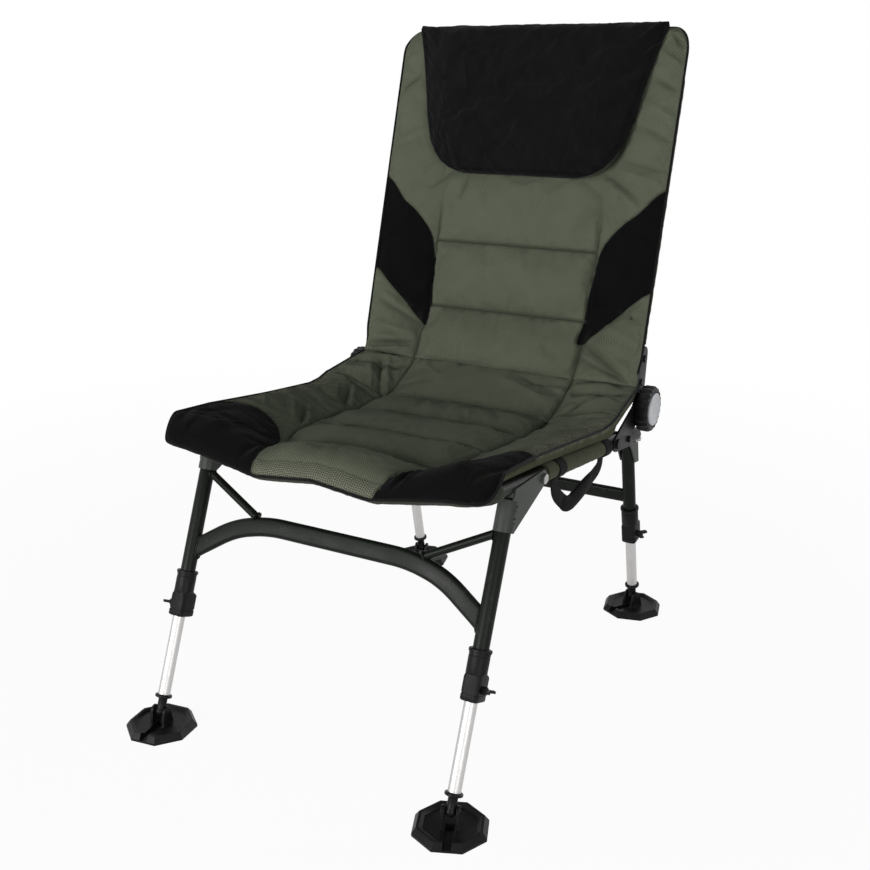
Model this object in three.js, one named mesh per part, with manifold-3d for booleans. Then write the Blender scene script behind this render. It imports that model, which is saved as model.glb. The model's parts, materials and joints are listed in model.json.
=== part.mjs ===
// A folding carp fishing chair with an adjustable back and four telescopic legs.
// Millimetres, +Z up, the sitter faces -Y, and "left" is -X.
import * as THREE from "three";
import { mergeVertices } from "three/addons/utils/BufferGeometryUtils.js";
import Module from "manifold-3d";

const wasm = await Module();
wasm.setup();

const { degToRad, lerp, clamp, smoothstep } = THREE.MathUtils;

// Driving dimensions

const gap = 0.3; // left between pieces that touch
const playInBore = 0.6; // radial play of a sliding tube
const overrun = 2; // how far a cut passes the faces it opens
const straightTurn = degToRad(0.01); // a corner flatter than this needs no bend

const tube = { radius: 11, wall: 1.4, sides: 16 };
const innerTube = { radius: 9, wall: 1.2 };
const sheet = 2.5; // folded steel of the brackets

// The seat frame is measured along its rails (s, rearward) and square to them (h, upward).
const rail = { x: 247, height: 398, slope: degToRad(6.84), front: -250, rear: 260 };
const bow = { along: -290, bend: 34, waveBend: 50, waveX: [0, 92, 200], waveDrop: [12, 22, 4] };
const rearBar = { along: 203 };

const frontPivot = { along: -135, bolt: 4, head: 7.5, headHeight: 4.5 };
const rearPivot = { along: 296.4, drop: 14.8, bolt: 4, head: 7.5, headHeight: 4, studReach: 15 };
const lean = { front: degToRad(21.9), rear: degToRad(12.4) };
const gussetReach = 68.5; // from the fold bolt to the leg's axis
const gusset = {
  wrapFrom: -78.5,
  wrapTo: -36,
  frontTop: -21,
  boss: 12,
  bossFrom: degToRad(-54),
  bossTo: degToRad(99),
  lap: 2,
  foot: 4,
  rivetAt: [-62, -46],
  rivet: 4,
  rivetHeight: 2,
};
const pinHeight = 27;

// Telescopic legs, measured down from the fold bolt along each leg
const legSizes = {
  front: { sleeveBelow: 300.7205, innerBelow: 144.7205 },
  rear: { sleeveBelow: 208.6721, innerBelow: 80.6721 },
};
const sleeve = {
  collar: 14.5,
  lip: 15.8,
  lipHeight: 4,
  collarLength: 34,
  blockX: 26,
  blockY: 32,
  blockLength: 34.6,
  blockBack: 3,
  corner: 4,
  shoulder: 3,
};
const wing = {
  stem: 3,
  hub: 5.5,
  hubLength: 6,
  wingSpan: 24,
  wingHeight: 10,
  wingThickness: 3.4,
  reach: 15,
};
const knuckle = {
  ball: 7.6,
  neck: 6.6,
  collar: 12.5,
  collarHeight: 4,
  collarTop: 25,
  plug: 7.4,
  plugLength: 22,
};
const foot = {
  flats: 98,
  rimHeight: 12,
  floor: 8,
  edgeHeight: 4,
  chamfer: 6,
  rimWidth: 4,
  dish: 5,
  earGap: 8,
  ear: 4.2,
  earRadius: 8.5,
  earFootShare: 1.5,
  pin: 2.5,
  pinHead: 1.6,
  slot: 12,
  slotFloor: 3.4,
  earLap: 1,
};
const footSwivel = {
  front_left: degToRad(8),
  front_right: degToRad(23),
  rear_left: degToRad(16),
  rear_right: degToRad(-30),
};

const arch = {
  tall: 28,
  thick: 12,
  belowPivot: 140.7205,
  flat: 118,
  shoulder: 176,
  shoulderDrop: 14,
  endDrop: 60.8,
  bend: 80,
};
const strut = { radius: 6, belowPivot: 81.7205, onArchX: 138 };
const crossbar = { tall: 25, thick: 12, belowPivot: 117.6721 };

// Recline hinge, in the seat frame; the back is measured up its tubes (u) and forward (n).
const hinge = { along: 233.8, lift: 49.2, bolt: 4.8, headRadius: 8.2, boss: 23 };
const backLean = degToRad(16.2);
const back = { x: 243, forward: 6, from: 16, top: 556, bend: 42, web: -4, webFrom: 44 };
const backArm = {
  thickness: 3.5,
  topRadius: 13,
  top: 98,
  boltAt: [40, 78],
  boltHead: 6,
  headHeight: 3,
};
const hingePlate = {
  thickness: 3.5,
  front: 139,
  second: 190,
  secondHead: 5.5,
  boltLift: 4,
  boltHead: 8,
  headHeight: 4,
  edgeInset: 2,
  noseFrom: degToRad(117),
  noseTo: degToRad(270),
  bossFrom: degToRad(-115),
  bossTo: degToRad(126),
};
const knob = {
  radius: 37,
  lobes: 10,
  lobeDepth: 1.8,
  thickness: 22,
  bevel: 3,
  recess: 27,
  recessDepth: 2,
  disc: 26.4,
  discThickness: 3.6,
};

// Fabric
const fabric = { sleeve: 1.7, web: 2, clear: 0.4, boltClear: 1 };
const strap = {
  thickness: 2,
  width: 25,
  frontLoop: -66,
  rearLoop: 110,
  bend: 26,
  lap: 1,
  hangAlong: [-62, -8, 70, 110],
  hangDrop: [36, 68, 44, 30],
};
const seatSag = 16;
const seatPad = {
  overRail: 21, // how far it reaches past the rails' axes
  drawnIn: 5,
  panel: 150,
  crown: 12,
  bolsterCrown: 7,
  front: -298,
  lip: 4.5,
  seamAlong: [-191, -90, 24, 116.5],
  seamLift: [-1, 10, 14, 27],
  pipingAlong: [-298, -270, -198, -60, 62, 90, 116.5],
  pipingLift: [22, 33, 37, 37, 39, 44, 54],
};
const cornerPad = {
  thickness: 27,
  topAlong: 188,
  topLift: 80,
  pipingTopLift: 87,
  crown: 6,
};
const backPad = {
  overTube: 9, // how far it reaches past the back tubes' axes
  lap: 3.6,
  rollShare: 0.12,
  crown: 14,
  seamAlong: [30, 126, 240, 377, 526],
  seamForward: [35, 5, 7, 8, 10],
  panel: 150,
};
const seatPadHalf = rail.x + seatPad.overRail;
const backPadHalf = back.x + backPad.overTube;
const headrest = {
  outlineAlong: [379, 430, 475, 605],
  outlineHalf: [152, 186, 200, 224],
  edge: 5,
  crown: 27,
};

// Materials, one for each finish

function finish(color, roughness, metalness) {
  return new THREE.MeshStandardMaterial({ color, roughness, metalness });
}
const paintedSteel = finish(0x20251f, 0.4, 0.35);
const greySteel = finish(0x4c524b, 0.42, 0.55);
const blackSteel = finish(0x101210, 0.4, 0.4);
const bareAluminium = finish(0xd6d8da, 0.3, 0.9);
const zincSteel = finish(0x9fa3a3, 0.35, 0.9);
const blackPlastic = finish(0x141515, 0.45, 0);
const greyPlastic = finish(0x9c9fa2, 0.5, 0);
const greenCloth = finish(0x4a5347, 0.9, 0);
const blackCloth = finish(0x121213, 0.92, 0);
const webbing = finish(0x0e0e0f, 0.8, 0);

// Helpers for solids

function toSolid(geometry) {
  const bare = geometry.clone();
  bare.deleteAttribute("normal");
  bare.deleteAttribute("uv");
  const merged = mergeVertices(bare);
  const count = merged.attributes.position.count;
  const triVerts = merged.index ? merged.index.array : Uint32Array.from({ length: count }, (_, i) => i);
  const mesh = new wasm.Mesh({
    numProp: 3,
    vertProperties: new Float32Array(merged.attributes.position.array),
    triVerts: new Uint32Array(triVerts),
  });
  return new wasm.Manifold(mesh);
}

function toGeometry(solid) {
  const mesh = solid.getMesh();
  const geometry = new THREE.BufferGeometry();
  geometry.setAttribute("position", new THREE.BufferAttribute(mesh.vertProperties, 3));
  geometry.setIndex(new THREE.BufferAttribute(mesh.triVerts, 1));
  const faceted = geometry.toNonIndexed();
  faceted.computeVertexNormals();
  return faceted;
}

function join(...geometries) {
  return toGeometry(geometries.map(toSolid).reduce((sum, solid) => sum.add(solid)));
}

function cut(geometry, ...tools) {
  return toGeometry(tools.map(toSolid).reduce((rest, tool) => rest.subtract(tool), toSolid(geometry)));
}

// A rod between two points, as a turned cylinder.
function rod(from, to, radius, sides = tube.sides) {
  const axis = to.clone().sub(from);
  const geometry = new THREE.CylinderGeometry(radius, radius, axis.length(), sides);
  const turn = new THREE.Quaternion().setFromUnitVectors(new THREE.Vector3(0, 1, 0), axis.normalize());
  const middle = from.clone().add(to).multiplyScalar(1 / 2);
  return geometry.applyQuaternion(turn).translate(middle.x, middle.y, middle.z);
}

const rodX = (y, z, x0, x1, radius, sides) =>
  rod(new THREE.Vector3(x0, y, z), new THREE.Vector3(x1, y, z), radius, sides);

// A solid turned about Z from [radius, height] pairs.
function turned(profile, sides = tube.sides) {
  const points = profile.map(([radius, height]) => new THREE.Vector2(radius, height));
  return new THREE.LatheGeometry(points, sides).rotateX(Math.PI / 2);
}

// A plate whose outline is drawn in (y, z) and that stands from x0 to x1.
function plateX(shape, x0, x1, curveSegments = 8) {
  const geometry = new THREE.ExtrudeGeometry(shape, {
    depth: x1 - x0,
    bevelEnabled: false,
    curveSegments,
  });
  const axes = new THREE.Matrix4().makeBasis(
    new THREE.Vector3(0, 1, 0),
    new THREE.Vector3(0, 0, 1),
    new THREE.Vector3(1, 0, 0),
  );
  return geometry.applyMatrix4(axes).translate(x0, 0, 0);
}

function outline(points) {
  return new THREE.Shape(points.map(([x, y]) => new THREE.Vector2(x, y)));
}

function circleHole(shape, x, y, radius) {
  shape.holes.push(new THREE.Path().absarc(x, y, radius, 0, 2 * Math.PI));
  return shape;
}

// A flat bar's section with round edges.
function ovalSection(thick, tall) {
  const end = thick / 2;
  const straight = tall / 2 - end;
  const shape = new THREE.Shape();
  shape.absarc(0, straight, end, 0, Math.PI);
  shape.absarc(0, -straight, end, Math.PI, 2 * Math.PI);
  return shape;
}

function roundSection(radius, bore = 0) {
  const shape = new THREE.Shape().absarc(0, 0, radius, 0, 2 * Math.PI);
  if (bore > 0) circleHole(shape, 0, 0, bore);
  return shape;
}

// A run of straight lengths joined by round bends, with a station at each end of each bend.
class BentPath extends THREE.Curve {
  constructor(corners, bends, stepsPerBend) {
    super();
    this.stations = [];
    this.tangents = [];
    corners.forEach((corner, i) => {
      const before = corners[i - 1];
      const after = corners[i + 1];
      if (!before || !after) {
        const ahead = (after ?? corner).clone().sub(before && !after ? before : corner);
        this.addStation(corner, ahead.normalize());
        return;
      }
      this.addBend(corner, before, after, bends[i] ?? bends, stepsPerBend[i] ?? stepsPerBend);
    });
  }

  addStation(point, tangent) {
    this.stations.push(point.clone());
    this.tangents.push(tangent.clone());
  }

  addBend(corner, before, after, radius, steps) {
    const into = corner.clone().sub(before).normalize();
    const out = after.clone().sub(corner).normalize();
    const turn = into.angleTo(out);
    if (turn < straightTurn) return;
    const setback = radius * Math.tan(turn / 2);
    const start = corner.clone().addScaledVector(into, -setback);
    const axis = into.clone().cross(out).normalize();
    const centre = start.clone().addScaledVector(axis.clone().cross(into), radius);
    for (let i = 0; i <= steps; i++) {
      const angle = (turn * i) / steps;
      const arm = start.clone().sub(centre).applyAxisAngle(axis, angle);
      this.addStation(centre.clone().add(arm), into.clone().applyAxisAngle(axis, angle));
    }
  }

  getPoint(t) {
    const place = clamp(t, 0, 1) * (this.stations.length - 1);
    const index = Math.min(Math.floor(place), this.stations.length - 2);
    return this.stations[index].clone().lerp(this.stations[index + 1], place - index);
  }

  getSpacedPoints() {
    return this.stations.map((station) => station.clone());
  }

  getTangentAt(t) {
    return this.tangents[Math.round(t * (this.stations.length - 1))].clone();
  }
}

function sweep(section, path, curveSegments = 7) {
  return new THREE.ExtrudeGeometry(section, {
    steps: path.stations.length - 1,
    extrudePath: path,
    curveSegments,
    bevelEnabled: false,
  });
}

// A closed solid between an upper and a lower sheet over the same grid of places.
function between(columns, rows, place, upper, lower) {
  const positions = [];
  for (const surface of [upper, lower]) {
    for (let j = 0; j < rows; j++) {
      for (let i = 0; i < columns; i++) {
        const [x, along] = place(i, j);
        positions.push(x, along, surface(x, along, i, j));
      }
    }
  }
  const at = (side, i, j) => side * columns * rows + j * columns + i;
  const faces = [];
  const quad = (a, b, c, d) => faces.push(a, b, c, a, c, d);
  for (let j = 0; j + 1 < rows; j++) {
    for (let i = 0; i + 1 < columns; i++) {
      quad(at(0, i, j), at(0, i + 1, j), at(0, i + 1, j + 1), at(0, i, j + 1));
      quad(at(1, i, j), at(1, i, j + 1), at(1, i + 1, j + 1), at(1, i + 1, j));
    }
    const last = columns - 1;
    quad(at(0, 0, j), at(0, 0, j + 1), at(1, 0, j + 1), at(1, 0, j));
    quad(at(0, last, j + 1), at(0, last, j), at(1, last, j), at(1, last, j + 1));
  }
  for (let i = 0; i + 1 < columns; i++) {
    const last = rows - 1;
    quad(at(0, i + 1, 0), at(0, i, 0), at(1, i, 0), at(1, i + 1, 0));
    quad(at(0, i, last), at(0, i + 1, last), at(1, i + 1, last), at(1, i, last));
  }
  const geometry = new THREE.BufferGeometry();
  geometry.setAttribute("position", new THREE.Float32BufferAttribute(positions, 3));
  geometry.setIndex(faces);
  const faceted = geometry.toNonIndexed();
  faceted.computeVertexNormals();
  return faceted;
}

// Straight interpolation in a table of named sizes.
function tableAt(keys, values, key) {
  if (key <= keys[0]) return values[0];
  for (let i = 1; i < keys.length; i++) {
    if (key <= keys[i]) {
      return lerp(values[i - 1], values[i], (key - keys[i - 1]) / (keys[i] - keys[i - 1]));
    }
  }
  return values[values.length - 1];
}

// 0 on each seam and 1 half way between two of them, with a steep start as on a filled channel.
function channelSwell(seams, along) {
  for (let i = 1; i < seams.length; i++) {
    if (along <= seams[i]) {
      const share = clamp((along - seams[i - 1]) / (seams[i] - seams[i - 1]), 0, 1);
      return Math.sqrt(Math.sin(Math.PI * share));
    }
  }
  return 0;
}

// Rows that follow the seams: each channel gets rows close to both of its seams.
const rowShares = [0, 0.12, 0.5, 0.88];
function channelRows(seams) {
  const rows = [];
  for (let i = 0; i + 1 < seams.length; i++) {
    for (const share of rowShares) rows.push(lerp(seams[i], seams[i + 1], share));
  }
  rows.push(seams[seams.length - 1]);
  return rows;
}

const model = new THREE.Group();

function addPiece(group, name, geometry, material) {
  const mesh = new THREE.Mesh(geometry, material);
  mesh.name = name;
  group.add(mesh);
  return mesh;
}

function addGroup(parent, x, y, z) {
  const group = new THREE.Group();
  group.position.set(x, y, z);
  parent.add(group);
  return group;
}

const sides = [
  ["left", -1],
  ["right", 1],
];

// Seat frame

const seat = addGroup(model, 0, 0, rail.height);
seat.rotation.x = -rail.slope;

const railInner = rail.x - tube.radius;
const railOuter = rail.x + tube.radius;
const sleeveRadius = tube.radius + gap + fabric.sleeve;
const strapLoop = sleeveRadius + gap + strap.thickness;
const padSeat = strapLoop + fabric.clear; // underside of the pads over the rails

function seatRail(side) {
  const from = new THREE.Vector3(side * rail.x, rail.front, 0);
  const to = new THREE.Vector3(side * rail.x, rail.rear, 0);
  const boltHole = rodX(
    frontPivot.along,
    0,
    side * (railInner - overrun),
    side * (railOuter + overrun),
    frontPivot.bolt + gap,
  );
  return cut(rod(from, to, tube.radius), boltHole);
}

// The front of the seat frame: it turns in from both rails and waves down to its middle.
function bowPath(startGap) {
  const half = [
    [rail.x, rail.front - startGap, 0],
    [rail.x, bow.along, 0],
    ...[2, 1, 0].map((i) => [bow.waveX[i], bow.along, -bow.waveDrop[i]]),
  ];
  const mirrored = half.slice(0, -1).reverse();
  const corners = [
    ...half.map(([x, y, z]) => new THREE.Vector3(-x, y, z)),
    ...mirrored.map(([x, y, z]) => new THREE.Vector3(x, y, z)),
  ];
  const bends = corners.map((_, i) => (i === 1 || i === corners.length - 2 ? bow.bend : bow.waveBend));
  const steps = bends.map((bend) => (bend === bow.bend ? 5 : 1));
  return new BentPath(corners, bends, steps);
}

const bowLift = (x) => -tableAt([...bow.waveX, rail.x], [...bow.waveDrop, 0], Math.abs(x));

for (const [name, side] of sides) addPiece(seat, `seat_rail_${name}`, seatRail(side), paintedSteel);
addPiece(seat, "seat_front_bow", sweep(roundSection(tube.radius), bowPath(gap), 5), paintedSteel);
addPiece(
  seat,
  "seat_rear_bar",
  rodX(rearBar.along, 0, gap - railInner, railInner - gap, tube.radius),
  paintedSteel,
);

// Fabric of the seat

const boltHeadInner = railInner - 2 * gap - sheet - frontPivot.headHeight;
const padStep = { low: boltHeadInner - frontPivot.headHeight, high: boltHeadInner + fabric.boltClear };
const webSide = {
  atSleeve: railInner - gap - fabric.sleeve / 2,
  atBolt: boltHeadInner - fabric.boltClear,
  atBow: rail.x - bow.bend,
};
const railSleeve = {
  from: frontPivot.along + 3 * frontPivot.head,
  to: hingePlate.front - 3 * frontPivot.head,
};
const hemBack = bow.along + tube.radius + gap + fabric.sleeve / 2;
const webRear = rearBar.along - tube.radius - gap;

function webLift(x, along) {
  const across = clamp(1 - (x / webSide.atSleeve) ** 2, 0, 1);
  const nearBow = 1 - smoothstep(along, hemBack, hemBack + 2 * strap.width);
  const nearBar = smoothstep(along, webRear - 2 * strap.width, webRear);
  const sag = -seatSag * across * (1 - nearBar);
  return lerp(sag, bowLift(x), nearBow);
}

const seatSeams = [seatPad.front, ...seatPad.seamAlong];
const seatRows = channelRows(seatSeams);
const seatColumns = [0, 1 / 3, 2 / 3, 1]
  .map((share) => share * seatPad.panel)
  .concat((seatPad.panel + padStep.low) / 2, padStep.low);
const hemReach = hemBack + sleeveRadius;

function seatSling() {
  const half = fabric.web / 2;
  const behindHem = seatRows.filter((along) => along > hemReach);
  const sleeveEnds = [railSleeve.from - gap, railSleeve.from + gap];
  const alongs = [hemBack, ...behindHem, ...sleeveEnds, webRear - strap.width, webRear];
  alongs.sort((a, b) => a - b);
  const inSleeve = (along) => along > railSleeve.from && along < railSleeve.to;
  const right = seatColumns.length;
  const place = (i, j) => {
    const along = alongs[j];
    const k = Math.abs(i - right);
    const edge = inSleeve(along) ? webSide.atSleeve : webSide.atBolt;
    const x = k < right ? seatColumns[k] : edge;
    return [Math.sign(i - right) * (j === 0 ? Math.min(x, (webSide.atBow * k) / right) : x), along];
  };
  const web = between(
    2 * right + 1,
    alongs.length,
    place,
    (x, along) => webLift(x, along) + half,
    (x, along) => webLift(x, along) - half,
  );
  const hem = sweep(roundSection(sleeveRadius, tube.radius + gap), bowPath(gap), 5);
  const along = (side, from, to) => [from, to].map((y) => new THREE.Vector3(side * rail.x, y, 0));
  const railSleeves = sides.map(([, side]) => {
    const sleeveRod = rod(...along(side, railSleeve.from, railSleeve.to), sleeveRadius);
    const bore = rod(...along(side, railSleeve.from - overrun, railSleeve.to + overrun), tube.radius + gap);
    return cut(sleeveRod, bore);
  });
  const slots = [strap.frontLoop, strap.rearLoop].map((middle) => {
    const reach = strap.width / 2 + gap;
    const room = rod(...along(1, middle - reach, middle + reach), strapLoop + gap);
    return cut(room, rod(...along(1, middle - strap.width, middle + strap.width), sleeveRadius));
  });
  return cut(join(web, hem, ...railSleeves), ...slots);
}

function quilted(x, panel, base, crown, swell, edgeLift, half, sideCrown) {
  const out = clamp((Math.abs(x) - panel) / (half - panel), 0, 1);
  const inner = crown * swell * (1 - (Math.min(Math.abs(x) / panel, 1)) ** 4);
  return lerp(base, edgeLift, smoothstep(out, 0, 1)) + inner + sideCrown * Math.sin(Math.PI * out);
}

function seatPadSolid() {
  const { panel } = seatPad;
  const half = seatPadHalf;
  const fixed = [...seatColumns, padStep.high];
  const right = [...fixed, (padStep.high + half) / 2, half];
  const last = seatPad.seamAlong[3];
  const place = (i, j) => {
    const k = i - (right.length - 1);
    const reach = (seatRows[j] - seatPad.front) / (last - seatPad.front);
    const drawn = Math.abs(k) < fixed.length ? 0 : seatPad.drawnIn * Math.sin(Math.PI * reach);
    return [Math.sign(k) * (right[Math.abs(k)] - drawn), seatRows[j]];
  };
  const upper = (x, along) => {
    const lifts = [bowLift(x) + padSeat + seatPad.lip, ...seatPad.seamLift];
    const base = tableAt(seatSeams, lifts, along);
    const piping = tableAt(seatPad.pipingAlong, seatPad.pipingLift, along);
    const swell = channelSwell(seatSeams, along);
    return quilted(x, panel, base, seatPad.crown, swell, piping, half, seatPad.bolsterCrown);
  };
  const lower = (x, along) => {
    if (Math.abs(x) > padStep.low + gap) return padSeat;
    if (along < hemReach) return bowLift(x) + padSeat;
    return webLift(x, along) + fabric.web / 2 + fabric.clear;
  };
  return between(2 * right.length - 1, seatRows.length, place, upper, lower);
}

function cornerPadSolid() {
  const { panel } = seatPad;
  const from = seatPad.seamAlong[3] + gap;
  const alongShares = [0, 0.12, 0.5, 0.88, 1];
  const halfShares = [0, 0.3, 0.57, 0.78, 0.93, 1];
  const columns = 2 * halfShares.length - 1;
  const place = (i, j) => {
    const k = i - (halfShares.length - 1);
    const outer = lerp(seatPadHalf - seatPad.drawnIn, backPadHalf, alongShares[j]);
    const x = Math.sign(k) * halfShares[Math.abs(k)] * outer;
    return [x, lerp(from, cornerPad.topAlong, alongShares[j])];
  };
  const upper = (x, along) => {
    const share = (along - from) / (cornerPad.topAlong - from);
    const base = lerp(seatPad.seamLift[3], cornerPad.topLift, share);
    const edge = lerp(seatPad.pipingLift[6], cornerPad.pipingTopLift, share);
    const swell = Math.sin(Math.PI * share);
    return quilted(x, panel, base, cornerPad.crown, swell, edge, seatPadHalf, 0);
  };
  const lower = (x, along) => Math.max(padSeat, upper(x, along) - cornerPad.thickness);
  return between(columns, alongShares.length, place, upper, lower);
}

addPiece(seat, "seat_sling", seatSling(), greenCloth);
addPiece(seat, "seat_pad", seatPadSolid(), greenCloth);
addPiece(seat, "corner_pad", cornerPadSolid(), greenCloth);

// Recline hinge plates and their bolts

function roundHead(side, y, z, x, radius, height) {
  return rodX(y, z, side * (x - sheet / 2), side * (x + height), radius, 10);
}

const plateInner = railOuter + gap;
const plateOuter = plateInner + hingePlate.thickness;

function hingePlateSolid(side) {
  const { front, second, secondHead, boltLift, boltHead, headHeight, edgeInset } = hingePlate;
  const edge = boltLift + tube.radius - edgeInset;
  const shape = new THREE.Shape();
  shape.absarc(front, boltLift, edge, hingePlate.noseFrom, hingePlate.noseTo);
  shape.lineTo(second + boltHead, boltLift - edge);
  shape.lineTo(second + edge, tube.radius - gap);
  shape.absarc(hinge.along, hinge.lift, hinge.boss, hingePlate.bossFrom, hingePlate.bossTo);
  shape.closePath();
  circleHole(shape, hinge.along, hinge.lift, hinge.bolt + gap);
  const [x0, x1] = side > 0 ? [plateInner, plateOuter] : [-plateOuter, -plateInner];
  return join(
    plateX(shape, x0, x1, 6),
    roundHead(side, front, boltLift, plateOuter, boltHead, headHeight),
    roundHead(side, second, boltLift, plateOuter, secondHead, headHeight),
  );
}

function reclineBolt(side) {
  const armInner = back.x + tube.radius + gap;
  const headOuter = armInner - gap;
  const end = plateOuter + gap + knob.thickness / 2;
  const from = headOuter - 2 * sheet;
  const head = rodX(hinge.along, hinge.lift, side * from, side * headOuter, hinge.headRadius, 6);
  const shank = rodX(hinge.along, hinge.lift, side * (headOuter - sheet), side * end, hinge.bolt);
  return join(head, shank);
}

function knobSolid(side) {
  const count = 3 * knob.lobes;
  const points = Array.from({ length: count }, (_, i) => {
    const angle = (2 * Math.PI * i) / count;
    const radius = knob.radius - knob.bevel - (knob.lobeDepth * (1 - Math.cos(knob.lobes * angle))) / 2;
    return [radius * Math.cos(angle), radius * Math.sin(angle)];
  });
  const body = new THREE.ExtrudeGeometry(outline(points), {
    depth: knob.thickness - 2 * knob.bevel,
    bevelThickness: knob.bevel,
    bevelSize: knob.bevel,
    bevelSegments: 1,
  });
  body.translate(0, 0, knob.bevel);
  const recess = new THREE.CylinderGeometry(knob.recess, knob.recess, 2 * knob.recessDepth, 24);
  recess.rotateX(Math.PI / 2).translate(0, 0, knob.thickness);
  const bore = new THREE.CylinderGeometry(hinge.bolt + gap, hinge.bolt + gap, knob.thickness + 2 * gap, 16);
  bore.rotateX(Math.PI / 2);
  const turnOut = new THREE.Matrix4().makeRotationY((side * Math.PI) / 2);
  return cut(body, recess, bore).applyMatrix4(turnOut);
}

for (const [name, side] of sides) {
  addPiece(seat, `hinge_plate_${name}`, hingePlateSolid(side), blackSteel);
  addPiece(seat, `recline_bolt_${name}`, reclineBolt(side), zincSteel);
  const at = addGroup(seat, side * (plateOuter + gap), hinge.along, hinge.lift);
  addPiece(at, `recline_knob_${name}`, knobSolid(side), blackPlastic);
  const discFrom = knob.thickness - knob.recessDepth + gap;
  const disc = rodX(0, 0, side * discFrom, side * (discFrom + knob.discThickness), knob.disc, 24);
  addPiece(at, `knob_disc_${name}`, disc, greyPlastic);
}

// Carry strap: two loops round the right rail and the webbing between them

function strapSolid() {
  const x = rail.x;
  const loops = [strap.frontLoop, strap.rearLoop].map((along) => {
    const ends = [along - strap.width / 2, along + strap.width / 2];
    const outer = rod(...ends.map((y) => new THREE.Vector3(x, y, 0)), strapLoop);
    const past = [ends[0] - overrun, ends[1] + overrun];
    return cut(outer, rod(...past.map((y) => new THREE.Vector3(x, y, 0)), strapLoop - strap.thickness));
  });
  const hang = [
    [strap.frontLoop, strap.lap - strapLoop],
    ...strap.hangAlong.map((along, i) => [along, -strap.hangDrop[i]]),
    [strap.rearLoop, strap.lap - strapLoop],
  ];
  const path = new BentPath(
    hang.map(([y, z]) => new THREE.Vector3(x, y, z)),
    strap.bend,
    4,
  );
  const section = outline([
    [-strap.thickness / 2, -strap.width / 2],
    [strap.thickness / 2, -strap.width / 2],
    [strap.thickness / 2, strap.width / 2],
    [-strap.thickness / 2, strap.width / 2],
  ]);
  const insides = [strap.frontLoop, strap.rearLoop].map((along) => {
    const ends = [along - strap.width, along + strap.width];
    return rod(...ends.map((y) => new THREE.Vector3(x, y, 0)), strapLoop - strap.thickness / 2);
  });
  return join(cut(sweep(section, path), ...insides), ...loops);
}
addPiece(seat, "carry_strap", strapSolid(), webbing);

// Rear leg brackets, fixed inside the rails, and the bolts that the rear legs turn on

const bracketOuter = railInner - gap;
const rearLegX = bracketOuter - sheet - gap - tube.radius;
const legX = { front: rail.x, rear: rearLegX };
const bracket = {
  round: 14,
  inset: 2,
  webInset: 1,
  sideFrom: 16,
  sideTo: 47,
  webTo: 50,
  tipTo: 52,
  archFrom: degToRad(162),
};

function rearBracket(side) {
  const tilt = lean.rear + rail.slope;
  const local = ([a, b]) => [
    rearPivot.along + a * Math.cos(tilt) - b * Math.sin(tilt),
    -rearPivot.drop + a * Math.sin(tilt) + b * Math.cos(tilt),
  ];
  const { round, inset, sideFrom, sideTo, webTo, tipTo } = bracket;
  const webFrom = tube.radius + gap;
  const arc = (start, end) =>
    Array.from({ length: 7 }, (_, i) => lerp(start, end, i / 6)).map((angle) =>
      local([round * Math.cos(angle), round * Math.sin(angle)]),
    );
  const tip = [local([webFrom + sheet, -tipTo]), local([-inset, -sideTo]), local([-round, -sideFrom])];
  const railArm = [
    [rail.rear - inset, inset - tube.radius],
    [rearBar.along + tube.radius + inset, inset - tube.radius],
    [rearBar.along + tube.radius + inset, tube.radius - inset],
    [rail.rear, tube.radius - inset],
  ];
  const web = outline([
    local([webFrom, -round]),
    local([webFrom + sheet, -round]),
    local([webFrom + sheet, -tipTo]),
    local([webFrom, -webTo]),
  ]);
  const inner = outline([...arc(bracket.archFrom, 0), ...tip]);
  const outer = outline([...railArm, ...arc(Math.PI / 2, 0), ...tip]);
  const x = [rearLegX - tube.radius - gap - sheet, bracketOuter];
  const plate = (shape, x0, x1) => (side > 0 ? plateX(shape, x0, x1, 5) : plateX(shape, -x1, -x0, 5));
  const hole = rodX(
    rearPivot.along,
    -rearPivot.drop,
    side * (x[0] - overrun),
    side * (x[1] + overrun),
    rearPivot.bolt + gap,
  );
  const joined = join(
    plate(inner, x[0], x[0] + sheet),
    plate(outer, x[1] - sheet, x[1]),
    plate(web, x[0] + bracket.webInset, x[1] - bracket.webInset),
  );
  return cut(joined, hole);
}

function bolt(side, y, z, headAt, nutAt, studReach, size) {
  const head = rodX(y, z, side * (headAt - size.headHeight), side * headAt, size.head, 12);
  const nut = rodX(y, z, side * nutAt, side * (nutAt + size.headHeight), size.head, 6);
  const from = headAt - size.headHeight / 2;
  const shank = rodX(y, z, side * from, side * (nutAt + size.headHeight / 2 + studReach), size.bolt, 12);
  return join(shank, head, nut);
}

for (const [name, side] of sides) {
  addPiece(seat, `rear_bracket_${name}`, rearBracket(side), greySteel);
  const innerFace = rearLegX - tube.radius - gap - sheet;
  addPiece(
    seat,
    `rear_pivot_bolt_${name}`,
    bolt(
      side,
      rearPivot.along,
      -rearPivot.drop,
      innerFace - gap,
      bracketOuter + gap,
      rearPivot.studReach / 2,
      rearPivot,
    ),
    zincSteel,
  );
  addPiece(
    seat,
    `front_pivot_bolt_${name}`,
    bolt(
      side,
      frontPivot.along,
      0,
      railInner - 2 * gap - sheet,
      railOuter + 2 * gap + sheet,
      gap,
      frontPivot,
    ),
    zincSteel,
  );
}

// Back, in a group at the recline hinge: local z runs up the tubes and local -y is forward

const backGroup = addGroup(seat, 0, hinge.along, hinge.lift);
backGroup.rotation.x = rail.slope - backLean;

function backPath(from, stepsPerBend) {
  const corners = [
    [-back.x, from],
    [-back.x, back.top],
    [back.x, back.top],
    [back.x, from],
  ].map(([x, u]) => new THREE.Vector3(x, -back.forward, u));
  return new BentPath(corners, back.bend, stepsPerBend);
}

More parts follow.
